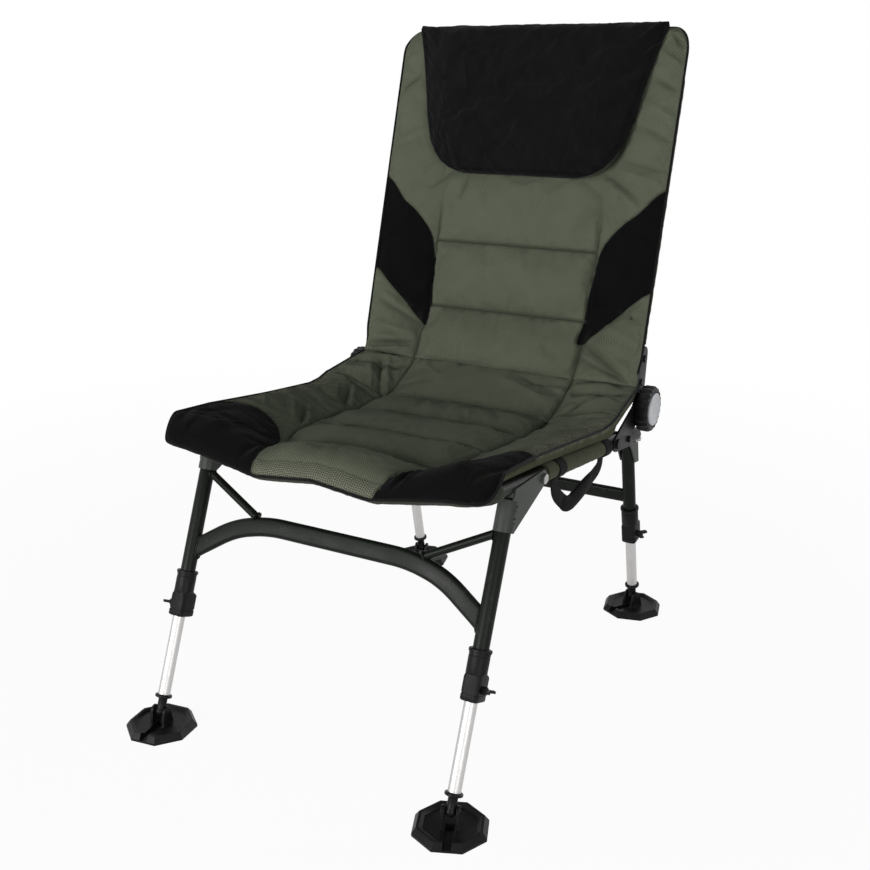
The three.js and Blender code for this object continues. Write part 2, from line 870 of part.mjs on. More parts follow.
function backArmSolid(side) {
  const inner = back.x + tube.radius + gap;
  const outer = inner + backArm.thickness;
  const boss = hinge.boss - overrun;
  const shape = new THREE.Shape();
  shape.absarc(0, 0, boss, Math.PI, 2 * Math.PI);
  shape.absarc(-back.forward, backArm.top - backArm.topRadius, backArm.topRadius, 0, Math.PI);
  shape.closePath();
  circleHole(shape, 0, 0, hinge.bolt + gap);
  const plate = side > 0 ? plateX(shape, inner, outer, 6) : plateX(shape, -outer, -inner, 6);
  const heads = backArm.boltAt.map((u) =>
    roundHead(side, -back.forward, u, outer, backArm.boltHead, backArm.headHeight),
  );
  return join(plate, ...heads);
}

const backSleeveFrom = backArm.top + 3 * gap;

function backSling() {
  const hem = sweep(roundSection(sleeveRadius, tube.radius + gap), backPath(backSleeveFrom, 5), 6);
  const mid = tube.radius + gap + fabric.sleeve / 2;
  const inset = Math.sqrt(mid ** 2 - (back.forward - back.web) ** 2);
  const half = back.x - inset;
  const top = back.top - inset;
  const web = new THREE.BoxGeometry(2 * half, fabric.web, top - back.webFrom);
  web.translate(0, -back.web, (top + back.webFrom) / 2);
  const bore = sweep(roundSection(tube.radius + gap), backPath(backSleeveFrom, 5), 6);
  return cut(join(web, hem), bore);
}

function backPadSolid() {
  const { panel, seamAlong, seamForward, lap } = backPad;
  const half = backPadHalf;
  const outside = lerp(panel, padStep.low, backPad.rollShare);
  const right = [...seatColumns, padStep.high, half];
  right.splice(right.indexOf(panel) + 1, 0, outside);
  const rows = channelRows(seamAlong);
  const columns = 2 * right.length - 1;
  const place = (i, j) => {
    const k = i - (right.length - 1);
    return [Math.sign(k) * right[Math.abs(k)], rows[j]];
  };
  const tubeFront = back.forward + sleeveRadius + fabric.clear;
  const upper = (x, u) => {
    const base = tableAt(seamAlong, seamForward, u);
    const swell = channelSwell(seamAlong, u);
    const edge = Math.max(tubeFront + lap, base - lap);
    return quilted(x, panel, base, backPad.crown, swell, edge, half, seatPad.bolsterCrown);
  };
  const webFront = back.web + fabric.web / 2 + fabric.clear;
  const lower = (x) => (Math.abs(x) > padStep.low + gap ? tubeFront : webFront);
  return between(columns, rows.length, place, upper, lower).rotateX(Math.PI / 2);
}

function headrestSolid() {
  const { outlineAlong, outlineHalf, edge, crown } = headrest;
  const lengthShares = [0, 0.05, 0.15, 0.3, 0.48, 0.66, 0.82, 0.93, 1];
  const columnShares = [0, 0.25, 0.5, 0.72, 0.88, 0.97, 1];
  const columns = 2 * columnShares.length - 1;
  const first = outlineAlong[0];
  const last = outlineAlong[outlineAlong.length - 1];
  const place = (i, j) => {
    const k = i - (columnShares.length - 1);
    const u = lerp(first, last, lengthShares[j]);
    const half = tableAt(outlineAlong, outlineHalf, u);
    return [Math.sign(k) * columnShares[Math.abs(k)] * half, u];
  };
  const overBar = back.forward + sleeveRadius + fabric.clear;
  const onPad = backPad.seamForward[4] + backPad.crown;
  const lower = () => Math.max(overBar, onPad);
  const upper = (x, u) => {
    const share = (u - first) / (last - first);
    const across = Math.abs(x) / tableAt(outlineAlong, outlineHalf, u);
    const domeUp = Math.sqrt(Math.max(0, Math.sin(Math.PI * clamp(share, 0, 1))));
    return lower() + edge + crown * domeUp * Math.sqrt(Math.max(0, 1 - across ** 4));
  };
  return between(columns, lengthShares.length, place, upper, lower).rotateX(Math.PI / 2);
}

addPiece(backGroup, "back_frame", sweep(roundSection(tube.radius), backPath(back.from, 5), 6), paintedSteel);
for (const [name, side] of sides) addPiece(backGroup, `back_arm_${name}`, backArmSolid(side), blackSteel);
addPiece(backGroup, "back_sling", backSling(), greenCloth);
addPiece(backGroup, "back_pad", backPadSolid(), greenCloth);
addPiece(backGroup, "headrest", headrestSolid(), blackCloth);

// Legs

// The group of a pair of legs: at its fold bolts, leaning, with one more group at the foot pins.
function legPair(at, leanAngle, reach) {
  const pivot = new THREE.Vector3(0, at.along, at.lift)
    .applyAxisAngle(new THREE.Vector3(1, 0, 0), -rail.slope)
    .add(new THREE.Vector3(0, 0, rail.height));
  const fold = addGroup(model, 0, pivot.y, pivot.z);
  fold.rotation.x = leanAngle;
  const length = (pivot.z - pinHeight - reach * Math.sin(leanAngle)) / Math.cos(leanAngle);
  return { fold, length, pins: addGroup(fold, 0, -reach, -length) };
}

const front = legPair({ along: frontPivot.along, lift: 0 }, -lean.front, gussetReach);
const rear = legPair({ along: rearPivot.along, lift: -rearPivot.drop }, lean.rear, 0);

const frontTilt = lean.front - rail.slope;
const frontTop =
  front.length -
  (gussetReach + tube.radius) * Math.tan(frontTilt) -
  (tube.radius + gap) / Math.cos(frontTilt);
const rearTop = rear.length + tube.radius;

function outerLeg(sizes, top, boreTop) {
  const bore = tube.radius - tube.wall;
  const bottom = sizes.sleeveFrom + sleeve.blockLength + gap;
  return turned([
    [0, boreTop],
    [bore, boreTop],
    [bore, bottom],
    [tube.radius, bottom],
    [tube.radius, top],
    [0, top],
  ]);
}

function sleeveSolid(sizes, side) {
  const from = sizes.sleeveFrom;
  const middle = from + sleeve.blockLength;
  const top = middle + sleeve.collarLength;
  const halfX = sleeve.blockX / 2 - sleeve.shoulder;
  const halfY = sleeve.blockY / 2 - sleeve.shoulder;
  const c = sleeve.corner - sleeve.shoulder;
  const corners = [
    [-halfX + c, -halfY],
    [halfX - c, -halfY],
    [halfX, -halfY + c],
    [halfX, halfY - c],
    [halfX - c, halfY],
    [-halfX + c, halfY],
    [-halfX, halfY - c],
    [-halfX, -halfY + c],
  ];
  const block = new THREE.ExtrudeGeometry(outline(corners), {
    depth: sleeve.blockLength - 2 * sleeve.shoulder,
    bevelThickness: sleeve.shoulder,
    bevelSize: sleeve.shoulder,
    bevelSegments: 1,
  });
  block.translate(0, sleeve.blockBack, from + sleeve.shoulder);
  const collar = turned([
    [0, middle - sleeve.shoulder],
    [sleeve.collar, middle - sleeve.shoulder],
    [sleeve.collar, top - sleeve.lipHeight],
    [sleeve.lip, top - sleeve.lipHeight],
    [sleeve.lip, top],
    [0, top],
  ]);
  const upper = new THREE.Vector3(0, 0, top + overrun);
  const tubeBore = rod(new THREE.Vector3(0, 0, middle), upper, tube.radius + gap);
  const slideBore = rod(new THREE.Vector3(0, 0, from - overrun), upper, innerTube.radius + playInBore);
  const screwAt = from + sleeve.blockLength / 2;
  const screwHole = rodX(0, screwAt, side * wing.stem, side * sleeve.blockX, wing.stem + gap, 12);
  return cut(join(block, collar), tubeBore, slideBore, screwHole);
}

function wingScrew(side) {
  const face = sleeve.blockX / 2 + gap;
  const stemFrom = innerTube.radius + gap;
  const end = face + wing.reach;
  const stem = rodX(0, 0, side * stemFrom, side * (face + gap), wing.stem, 12);
  const hub = rodX(0, 0, side * face, side * (face + wing.hubLength), wing.hub, 12);
  const half = wing.wingSpan / 2;
  const plate = outline([
    [face + gap, -wing.hub],
    [end - wing.wingHeight / 2, -half],
    [end, -half + wing.wingThickness],
    [end - wing.wingHeight / 2, -wing.wingThickness],
    [end - wing.wingHeight / 2, wing.wingThickness],
    [end, half - wing.wingThickness],
    [end - wing.wingHeight / 2, half],
    [face + gap, wing.hub],
  ]);
  const wings = new THREE.ExtrudeGeometry(plate, { depth: wing.wingThickness, bevelEnabled: false });
  wings.translate(0, 0, -wing.wingThickness / 2);
  if (side < 0) wings.rotateZ(Math.PI);
  return join(stem, hub, wings);
}

function innerLeg(sizes) {
  const bore = innerTube.radius - innerTube.wall;
  const bottom = knuckle.collarTop + gap;
  return turned([
    [bore, bottom],
    [innerTube.radius, bottom],
    [innerTube.radius, sizes.innerTop],
    [bore, sizes.innerTop],
    [bore, bottom],
  ]);
}

function footPlug(pinAxis) {
  const collarFrom = knuckle.collarTop - knuckle.collarHeight;
  const start = Math.asin(knuckle.neck / knuckle.ball);
  const ball = Array.from({ length: 5 }, (_, i) => lerp(Math.PI, start, i / 4)).map((angle) => [
    knuckle.ball * Math.sin(angle),
    knuckle.ball * Math.cos(angle),
  ]);
  ball[0] = [0, -knuckle.ball];
  const solid = turned([
    ...ball,
    [knuckle.neck, collarFrom],
    [knuckle.collar, collarFrom],
    [knuckle.collar, knuckle.collarTop],
    [knuckle.plug, knuckle.collarTop],
    [knuckle.plug, knuckle.collarTop + knuckle.plugLength],
    [0, knuckle.collarTop + knuckle.plugLength],
  ], 12);
  const reach = 2 * knuckle.ball;
  const hole = rod(
    pinAxis.clone().multiplyScalar(-reach),
    pinAxis.clone().multiplyScalar(reach),
    foot.pin + gap,
    8,
  );
  return cut(solid, hole);
}

function footSolid() {
  const corner = foot.flats / 2 / Math.cos(Math.PI / 8);
  const rim = corner - foot.chamfer;
  const inner = rim - foot.rimWidth;
  const base = turned(
    [
      [0, 0],
      [corner, 0],
      [corner, foot.edgeHeight],
      [rim, foot.rimHeight],
      [inner, foot.rimHeight],
      [inner - foot.dish, foot.floor],
      [0, foot.floor],
    ],
    8,
  );
  base.rotateZ(Math.PI / 8).translate(0, 0, -pinHeight);
  const slot = new THREE.BoxGeometry(foot.slot, foot.flats, pinHeight);
  slot.translate(0, -foot.flats / 2, foot.slotFloor - pinHeight / 2);
  const floorLift = foot.floor - foot.earLap - pinHeight;
  const ear = new THREE.Shape();
  ear.absarc(0, 0, foot.earRadius, 0, Math.PI);
  ear.lineTo(-foot.earRadius * foot.earFootShare, floorLift);
  ear.lineTo(foot.earRadius * foot.earFootShare, floorLift);
  ear.closePath();
  const pinEnd = foot.earGap + foot.ear + foot.pinHead;
  return join(
    cut(base, slot),
    plateX(ear, foot.earGap, foot.earGap + foot.ear, 4),
    plateX(ear, -foot.earGap - foot.ear, -foot.earGap, 4),
    rodX(0, 0, -pinEnd, pinEnd, foot.pin, 8),
  );
}

const legs = [
  { end: "front", pair: front, top: frontTop, boreTop: frontTop - overrun, turn: -lean.front },
  { end: "rear", pair: rear, top: rearTop, boreTop: rear.length - 2 * rearPivot.bolt, turn: lean.rear },
];

for (const { end, pair, top, boreTop, turn } of legs) {
  for (const [name, side] of sides) {
    const key = `${end}_${name}`;
    const { sleeveBelow, innerBelow } = legSizes[end];
    const sizes = { sleeveFrom: pair.length - sleeveBelow, innerTop: pair.length - innerBelow };
    const at = addGroup(pair.pins, side * legX[end], 0, 0);
    let outer = outerLeg(sizes, top, boreTop);
    if (end === "rear") {
      const across = tube.radius + overrun;
      outer = cut(outer, rodX(0, pair.length, -across, across, rearPivot.bolt + gap));
    }
    addPiece(at, `${end}_leg_${name}`, outer, paintedSteel);
    addPiece(at, `${end}_sleeve_${name}`, sleeveSolid(sizes, side), blackPlastic);
    const screw = addPiece(at, `${end}_wing_screw_${name}`, wingScrew(side), blackPlastic);
    screw.position.z = sizes.sleeveFrom + sleeve.blockLength / 2;
    addPiece(at, `${end}_inner_leg_${name}`, innerLeg(sizes), bareAluminium);
    const swivel = footSwivel[key];
    const pinAxis = new THREE.Vector3(Math.cos(swivel), Math.sin(swivel), 0);
    pinAxis.applyAxisAngle(new THREE.Vector3(1, 0, 0), -turn);
    addPiece(at, `${end}_foot_plug_${name}`, footPlug(pinAxis), blackPlastic);
    const flat = addPiece(at, `${end}_foot_${name}`, footSolid(), blackPlastic);
    flat.rotation.set(-turn, 0, swivel);
  }
}

// Cross pieces of the front legs

const legRod = (x, radius, top) =>
  rod(new THREE.Vector3(x, 0, 0), new THREE.Vector3(x, 0, top), radius);
const archX = [0, arch.flat, arch.shoulder, legX.front];
const archDrop = [0, 0, arch.shoulderDrop, arch.endDrop];
const archLift = (x) => front.length - arch.belowPivot - tableAt(archX, archDrop, Math.abs(x));

function archPath() {
  const xs = [-legX.front, -arch.shoulder, -arch.flat, arch.flat, arch.shoulder, legX.front];
  return new BentPath(
    xs.map((x) => new THREE.Vector3(x, 0, archLift(x))),
    arch.bend,
    3,
  );
}

function archSolid() {
  const bar = sweep(ovalSection(arch.thick, arch.tall), archPath(), 2);
  return cut(bar, ...sides.map(([, side]) => legRod(side * legX.front, tube.radius + gap, front.length)));
}

function strutSolid(side) {
  const onArch = new THREE.Vector3(side * strut.onArchX, 0, archLift(strut.onArchX));
  const onLeg = new THREE.Vector3(side * legX.front, 0, front.length - strut.belowPivot);
  const room = sweep(ovalSection(arch.thick + 2 * gap, arch.tall + 2 * gap), archPath(), 3);
  const leg = legRod(side * legX.front, tube.radius + gap, front.length);
  return cut(rod(onArch, onLeg, strut.radius, 12), leg, room);
}

function gussetSolid(side) {
  const { wrapFrom, wrapTo, boss, lap } = gusset;
  const frontEdge = -(gussetReach + tube.radius + gap + sheet);
  const shape = new THREE.Shape();
  shape.moveTo(-gussetReach - lap, wrapFrom);
  shape.lineTo(gusset.foot - gussetReach, wrapFrom);
  shape.absarc(0, 0, boss, gusset.bossFrom, gusset.bossTo);
  shape.lineTo(frontEdge, gusset.frontTop);
  shape.lineTo(frontEdge, wrapTo);
  shape.lineTo(-gussetReach - lap, wrapTo);
  shape.closePath();
  circleHole(shape, 0, 0, frontPivot.bolt + gap);
  const x0 = rail.x - tube.radius - gap - sheet;
  const x1 = rail.x + tube.radius + gap;
  const flange = (from) =>
    side > 0 ? plateX(shape, from, from + sheet, 5) : plateX(shape, -from - sheet, -from, 5);
  const ring = new THREE.Shape();
  ring.absarc(0, 0, tube.radius + gap + sheet, Math.PI, 2 * Math.PI);
  ring.absarc(0, 0, tube.radius + gap, 2 * Math.PI, Math.PI, true);
  ring.closePath();
  const wrap = new THREE.ExtrudeGeometry(ring, {
    depth: wrapTo - wrapFrom,
    bevelEnabled: false,
    curveSegments: 5,
  });
  wrap.translate(side * rail.x, -gussetReach, wrapFrom);
  const rivets = gusset.rivetAt.map((z) =>
    roundHead(side, -gussetReach, z, x1 + sheet, gusset.rivet, gusset.rivetHeight),
  );
  return join(flange(x0), flange(x1), wrap, ...rivets);
}

addPiece(front.pins, "front_arch", archSolid(), paintedSteel);
for (const [name, side] of sides) {
  addPiece(front.pins, `arch_strut_${name}`, strutSolid(side), paintedSteel);
  addPiece(front.fold, `front_gusset_${name}`, gussetSolid(side), greySteel);
}

// Cross bar of the rear legs

function crossbarSolid() {
  const bar = plateX(ovalSection(crossbar.thick, crossbar.tall), -rearLegX, rearLegX, 4);
  bar.translate(0, 0, rear.length - crossbar.belowPivot);
  return cut(bar, ...sides.map(([, side]) => legRod(side * rearLegX, tube.radius + gap, rear.length)));
}
addPiece(rear.pins, "rear_crossbar", crossbarSolid(), paintedSteel);

// The part's origin is under the middle of its box, on the ground.
model.updateMatrixWorld(true);
const box = new THREE.Box3().setFromObject(model, true);
const middle = box.getCenter(new THREE.Vector3());
model.position.set(-middle.x, -middle.y, -box.min.z);

export default model;
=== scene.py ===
"""A folding carp fishing chair: padded seat, reclining back, headrest and telescopic legs."""

import functools
import json
import math

import bmesh
import bpy
import numpy as np
from bpy.props import FloatProperty, FloatVectorProperty, PointerProperty
from mathutils import Matrix, Quaternion, Vector


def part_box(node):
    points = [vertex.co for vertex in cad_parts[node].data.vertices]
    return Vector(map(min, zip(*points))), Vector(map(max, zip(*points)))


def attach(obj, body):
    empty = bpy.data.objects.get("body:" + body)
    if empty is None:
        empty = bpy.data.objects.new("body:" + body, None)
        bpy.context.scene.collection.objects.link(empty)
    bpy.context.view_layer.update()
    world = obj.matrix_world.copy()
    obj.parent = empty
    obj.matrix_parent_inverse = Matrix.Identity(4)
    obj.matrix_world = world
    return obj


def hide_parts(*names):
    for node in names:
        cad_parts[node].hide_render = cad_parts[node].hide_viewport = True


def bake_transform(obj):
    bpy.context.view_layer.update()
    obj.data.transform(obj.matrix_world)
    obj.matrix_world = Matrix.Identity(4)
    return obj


bl_info = {
    "name": "Carp fishing chair",
    "version": (1, 0, 0),
    "blender": (4, 5, 0),
    "location": "View3D > Sidebar > Chair",
    "description": "Dresses the frame of a folding fishing chair in cloth, paint and plastic",
    "category": "Object",
}

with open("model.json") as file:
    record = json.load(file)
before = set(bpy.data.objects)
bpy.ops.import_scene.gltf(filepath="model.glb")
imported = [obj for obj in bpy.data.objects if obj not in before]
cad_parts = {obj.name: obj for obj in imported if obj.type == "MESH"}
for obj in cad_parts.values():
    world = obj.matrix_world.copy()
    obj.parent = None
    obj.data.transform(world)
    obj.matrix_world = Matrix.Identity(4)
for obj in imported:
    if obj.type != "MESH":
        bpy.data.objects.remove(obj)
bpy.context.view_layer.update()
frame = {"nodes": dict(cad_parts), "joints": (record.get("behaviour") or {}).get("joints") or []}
JOINTS = {joint["name"]: joint for joint in frame["joints"]}

MM = 0.001
SIDES = (("left", -1), ("right", 1))
ENDS = ("front", "rear")

# Sizes in millimetres that the cloth and the tubes share with the frame
TUBE = 11.0
INNER_TUBE = 9.0
GAP = 0.3
SLEEVE_RADIUS = 13.0
RAIL_X = 247.0
RAIL_SLOPE = math.radians(6.84)
HINGE_ALONG = 233.8
HINGE_LIFT = 49.2
REAR_BAR_ALONG = 203.0

# Cushions: spacing of their points, seams and marks
EDGE_BAND = 20.0
EDGE_STEP = 1.5
RIM_STEP = 1.6
CREASE_WIDTH = 4.2
SEAM_WIDTH = 3.0
# Width of the painted shade line along the side creases
CREASE_SHADE_WIDTH = 2.0
WELT_HEIGHT = 1.4
WELT_BESIDE = 4.0
WELT_WIDTH = 1.8
LEAST_THICK = 0.4
WEB_CLEAR = 1.6
NO_MARK = -50.0
PIPING_RADIUS = 1.9
PIPING_OUT = 1.003

# Cloth run: spare cloth, inner pressure, and how far a point may move
CLOTH_SPARE = 0.03
CLOTH_PRESSURE = 2.0
CLOTH_FRAMES = 10
CLOTH_QUALITY = 4
CLOTH_MASS = 0.05
CLOTH_STIFFNESS = {"tension": 10, "compression": 10, "shear": 3, "bending": 0.8}
CUSHION_MOVE = 2.2
PILLOW_MOVE = 4.0
PINNED_RIM = 5.0
PINNED_PILLOW_RIM = 3.0
# Cloth stays put where the painted seam and crease shade is at least this strong
PINNED_SEAM_SHADE = 0.35

# Seat: along runs rearward on the rails, lift stands square to them
SEAT_HALF = 268.0
SEAT_FRONT = -307.0
SEAT_REAR = 116.5
SEAT_PANEL = 150.0
SEAT_DRAWN_IN = 5.0
SEAT_CORNER = 30.0
SEAT_SEAMS = (-290.0, -191.0, -90.0, 24.0, 116.5)
SEAM_LIFTS = (0.0, -1.0, 10.0, 14.0, 27.0)
SEAT_CROWN = 14.0
ROLL_CROWN = 7.0
PAD_SEAT = 15.8
FRONT_LIP = 6.0
HEM_DROP = 4.0
PIPING_ALONG = (-298.0, -270.0, -198.0, -60.0, 62.0, 90.0, 116.5)
PIPING_LIFT = (22.0, 33.0, 37.0, 37.0, 39.0, 44.0, 54.0)
CREASE_ALONG = (-298.0, -225.0, -160.0, -80.0, 116.5)
CREASE_X = (108.0, 114.0, 138.0, 150.0, 152.0)
BOW_X = (0.0, 92.0, 200.0, 247.0)
BOW_DROP = (12.0, 22.0, 4.0, 0.0)
BOW_ALONG = -290.0
BOW_FROM = -250.3
BOW_CORNER = 34
BOW_WAVE = 50
WEB_SAG = 16.0
WEB_RISE = 50.0
CORNER_TOP_ALONG = 208.0
PIPING_CLEAR = 4.0
TUCK_UP = 7.0
TUCK_IN = 13.0
CORNER_THICK = 27.0

# Back: up runs up its tubes from the hinge, out stands forward of them
BACK_LEAN = math.radians(16.2)
BACK_HALF = 258.0
BACK_FROM = 30.0
BACK_TO = 602.0
BACK_SEAMS = (30.0, 126.0, 240.0, 377.0, 526.0)
BACK_OUT = (35.0, 5.0, 7.0, 8.0, 10.0)
BACK_CROWN = 17.0
BACK_CORNER = 44.0
BACK_TUBE_X = 243.0
BACK_TUBE_OUT = 6.0
BACK_BAR_UP = 556.0
BACK_BEND = 42.0
BACK_WEB = -4.0
BACK_EDGE = 23.0
BACK_CREASE_FULL = 250.0
BACK_CREASE_TO = 330.0
BACK_TUBE_BAND = 18.0
BACK_FOOT_BAND = 20.0
BACK_TOP_BAND = 30.0

# Headrest outline, as half widths up the back
REST_UP = (354.0, 357.0, 363.0, 374.0, 390.0, 410.0, 450.0, 490.0, 555.0, 600.0, 606.0)
REST_HALF = (100.0, 116.0, 134.0, 152.0, 166.0, 178.0, 190.0, 198.0, 213.0, 226.0, 224.0)
REST_BASE = 25.0
REST_MID = 31.0
REST_CROWN = 26.0
REST_WIDE = 210.0
REST_LAP = 5.0
COVERED_DROP = 3.0

# Black corner patches, drawn on the right side as (across, along) or (across, up)
SEAT_PATCH = (
    (300, -340), (98, -340), (102, -300), (108, -268), (118, -234), (122, -222), (128, -208),
    (144, -182), (170, -157), (205, -145), (240, -154), (270, -176), (300, -190),
)
BACK_PATCH = (
    (300, 352), (252, 340), (219, 306), (190, 284), (162, 250), (152, 215), (147, 170), (145, 120),
    (147, 86), (190, 124), (232, 162), (256, 180), (300, 196),
)


def settings():
    return bpy.context.scene.chair


# Places in the frame, in millimetres


def mm_point(values):
    return Vector(values) / MM


HINGE = mm_point(JOINTS["recline"]["pos_m"])
ALONG = Vector((0, math.cos(RAIL_SLOPE), -math.sin(RAIL_SLOPE)))
LIFT = Vector((0, math.sin(RAIL_SLOPE), math.cos(RAIL_SLOPE)))
SEAT_ORIGIN = HINGE - ALONG * HINGE_ALONG - LIFT * HINGE_LIFT
UP_BACK = Vector((0, math.sin(BACK_LEAN), math.cos(BACK_LEAN)))
OUT_BACK = Vector((0, -math.cos(BACK_LEAN), math.sin(BACK_LEAN)))


def placed(origin, first, second, x, a, b):
    """Points at x across, a along the first direction and b along the second, as an array."""
    x, a, b = np.broadcast_arrays(np.asarray(x, float), a, b)
    points = np.empty(x.shape + (3,))
    for axis in range(3):
        points[..., axis] = origin[axis] + first[axis] * a + second[axis] * b
    points[..., 0] += x
    return points


def seat_at(x, along, lift):
    return placed(SEAT_ORIGIN, ALONG, LIFT, x, along, lift)


def back_at(x, up, out):
    return placed(HINGE, UP_BACK, OUT_BACK, x, up, out)


class LegLine:
    """The line of one leg: its foot pin, the direction up the leg and the one square to it."""

    def __init__(self, end, name):
        self.pin = mm_point(JOINTS[f"{end}_{name}_foot_tilt"]["pos_m"])
        self.up = Vector(JOINTS[f"{end}_{name}_height"]["axis"]).normalized()
        self.square = self.up.cross(Vector((1, 0, 0))).normalized()

    def turn(self):
        """Carries (x, y, z) to across, square and up."""
        return Matrix((Vector((1, 0, 0)), self.square, self.up)).transposed()


# Mesh helpers


WELD_REACH = 0.00002
BEVEL_ANGLE = math.radians(34)
STEEP_EDGE = math.radians(38)


def new_piece(name, points, faces):
    """A smooth mesh object from points in millimetres."""
    mesh = bpy.data.meshes.new(name)
    mesh.from_pydata([tuple(Vector(p) * MM) for p in points], [], [tuple(f) for f in faces])
    mesh.polygons.foreach_set("use_smooth", [True] * len(mesh.polygons))
    mesh.update()
    piece = bpy.data.objects.new(name, mesh)
    bpy.context.scene.collection.objects.link(piece)
    return piece


def outward(piece):
    """Turns every face outward."""
    shape = bmesh.new()
    shape.from_mesh(piece.data)
    bmesh.ops.recalc_face_normals(shape, faces=shape.faces)
    shape.to_mesh(piece.data)
    shape.free()
    return piece


def joined(name, pieces):
    """One mesh of several, in their order."""
    shape = bmesh.new()
    for piece in pieces:
        shape.from_mesh(piece.data)
    mesh = bpy.data.meshes.new(name)
    shape.to_mesh(mesh)
    shape.free()
    for piece in pieces:
        bpy.data.objects.remove(piece)
    result = bpy.data.objects.new(name, mesh)
    bpy.context.scene.collection.objects.link(result)
    return result


def grid_faces(rows, columns, closed):
    """Four-sided faces over rows of points round a form, which runs on to its start if closed."""
    faces = []
    for j in range(rows if closed else rows - 1):
        for i in range(columns):
            a = j * columns + i
            b = j * columns + (i + 1) % columns
            c = ((j + 1) % rows) * columns + (i + 1) % columns
            d = ((j + 1) % rows) * columns + i
            faces.append((a, b, c, d))
    return faces


def rings(name, loops, closed=False):
    """A skin over loops of equally many points, closed in a ring or capped at its ends."""
    columns = len(loops[0])
    points = [p for loop in loops for p in loop]
    faces = grid_faces(len(loops), columns, closed)
    if not closed:
        faces.append(tuple(reversed(range(columns))))
        last = (len(loops) - 1) * columns
        faces.append(tuple(range(last, last + columns)))
    return outward(new_piece(name, points, faces))


def carried_frames(points):
    """Two directions square to a path at each of its points, carried along without twist."""
    points = [Vector(p) for p in points]
    tangents = []
    for i in range(len(points)):
        ahead = points[min(i + 1, len(points) - 1)] - points[max(i - 1, 0)]
        tangents.append(ahead.normalized())
    first = tangents[0].orthogonal().normalized()
    if abs(tangents[0].x) < 0.9:
        first = (Vector((1, 0, 0)) - tangents[0] * tangents[0].x).normalized()
    frames = []
    for i, tangent in enumerate(tangents):
        if i:
            first = tangents[i - 1].rotation_difference(tangent) @ first
            first = (first - tangent * first.dot(tangent)).normalized()
        frames.append((first, tangent.cross(first)))
    return frames


def swept(name, path, section):
    """A section of (a, b) pairs, or one section for each point, swept along a path."""
    loops = []
    for i, (point, (first, second)) in enumerate(zip(path, carried_frames(path))):
        shape = section(i) if callable(section) else section
        loops.append([Vector(point) + first * a + second * b for a, b in shape])
    return rings(name, loops)


def circle(radius, sides):
    angles = [2 * math.pi * i / sides for i in range(sides)]
    return [(radius * math.cos(a), radius * math.sin(a)) for a in angles]


def round_angles(count):
    """Evenly spread angles of a full turn."""
    return np.linspace(0, 2 * math.pi, count + 1)[:-1]


def oval(thick, tall, steps=9):
    """A flat bar's section with round edges; its tall way is the second direction."""
    end = thick / 2
    straight = tall / 2 - end
    upper = [(end * math.cos(a), straight + end * math.sin(a)) for a in np.linspace(0, math.pi, steps)]
    return upper + [(-a, -b) for a, b in upper]


def turned(name, profile, origin, axis, sides=40, swell=None):
    """A closed solid turned about an axis from (radius, height) pairs that start and end on it."""
    turn = Vector((0, 0, 1)).rotation_difference(Vector(axis))
    loops = []
    for radius, height in profile:
        loop = []
        for i in range(sides):
            angle = 2 * math.pi * i / sides
            reach = radius + (swell(angle, radius) if swell else 0.0)
            loop.append(Vector((reach * math.cos(angle), reach * math.sin(angle), height)))
        loops.append([Vector(origin) + turn @ p for p in loop])
    return rings(name, loops)


def add_modifier(piece, name, kind, **values):
    modifier = piece.modifiers.new(name, kind)
    for key, value in values.items():
        setattr(modifier, key, value)


def smoothing_group():
    """Geometry nodes that shade smoothly except across steep edges."""
    name = "Smooth round faces"
    if name in bpy.data.node_groups:
        return bpy.data.node_groups[name]
    group = bpy.data.node_groups.new(name, "GeometryNodeTree")
    group.interface.new_socket("Geometry", in_out="INPUT", socket_type="NodeSocketGeometry")
    group.interface.new_socket("Geometry", in_out="OUTPUT", socket_type="NodeSocketGeometry")
    entry = group.nodes.new("NodeGroupInput")
    result = group.nodes.new("NodeGroupOutput")
    faces = group.nodes.new("GeometryNodeSetShadeSmooth")
    edges = group.nodes.new("GeometryNodeSetShadeSmooth")
    edges.domain = "EDGE"
    angle = group.nodes.new("GeometryNodeInputMeshEdgeAngle")
    steep = group.nodes.new("FunctionNodeCompare")
    steep.operation = "LESS_THAN"
    steep.inputs["B"].default_value = STEEP_EDGE
    group.links.new(entry.outputs[0], faces.inputs["Geometry"])
    group.links.new(faces.outputs[0], edges.inputs["Geometry"])
    group.links.new(angle.outputs["Unsigned Angle"], steep.inputs["A"])
    group.links.new(steep.outputs["Result"], edges.inputs["Shade Smooth"])
    group.links.new(edges.outputs[0], result.inputs[0])
    return group


def sharpened(piece):
    add_modifier(piece, "Smooth round faces", "NODES", node_group=smoothing_group())
    return piece


def softened(piece, width):
    """Small rounded edges on a hard piece."""
    add_modifier(piece, "Weld", "WELD", merge_threshold=WELD_REACH)
    add_modifier(
        piece, "Rounded edges", "BEVEL", width=width * MM, segments=2, limit_method="ANGLE",
        angle_limit=BEVEL_ANGLE,
    )
    sharpened(piece)
    add_modifier(piece, "Flat faces", "WEIGHTED_NORMAL", keep_sharp=True, weight=90)


# Cloth helpers


# Side of the table of random lumps, and how deep a crease is where its shade starts and is full
LUMP_TABLE = 64
SHADED_DEPTH = 3.0
FULL_DEPTH = 7.0
CREASE_SHADE = 0.7


def between(value, low, high):
    """0 up to low, 1 from high on, and straight between them."""
    return np.clip((value - low) / (high - low), 0, 1)


def least(*values):
    return functools.reduce(np.minimum, values)


def most(*values):
    return functools.reduce(np.maximum, values)


def eased(share):
    """A share from 0 to 1 that starts and ends level."""
    return share * share * (3 - 2 * share)


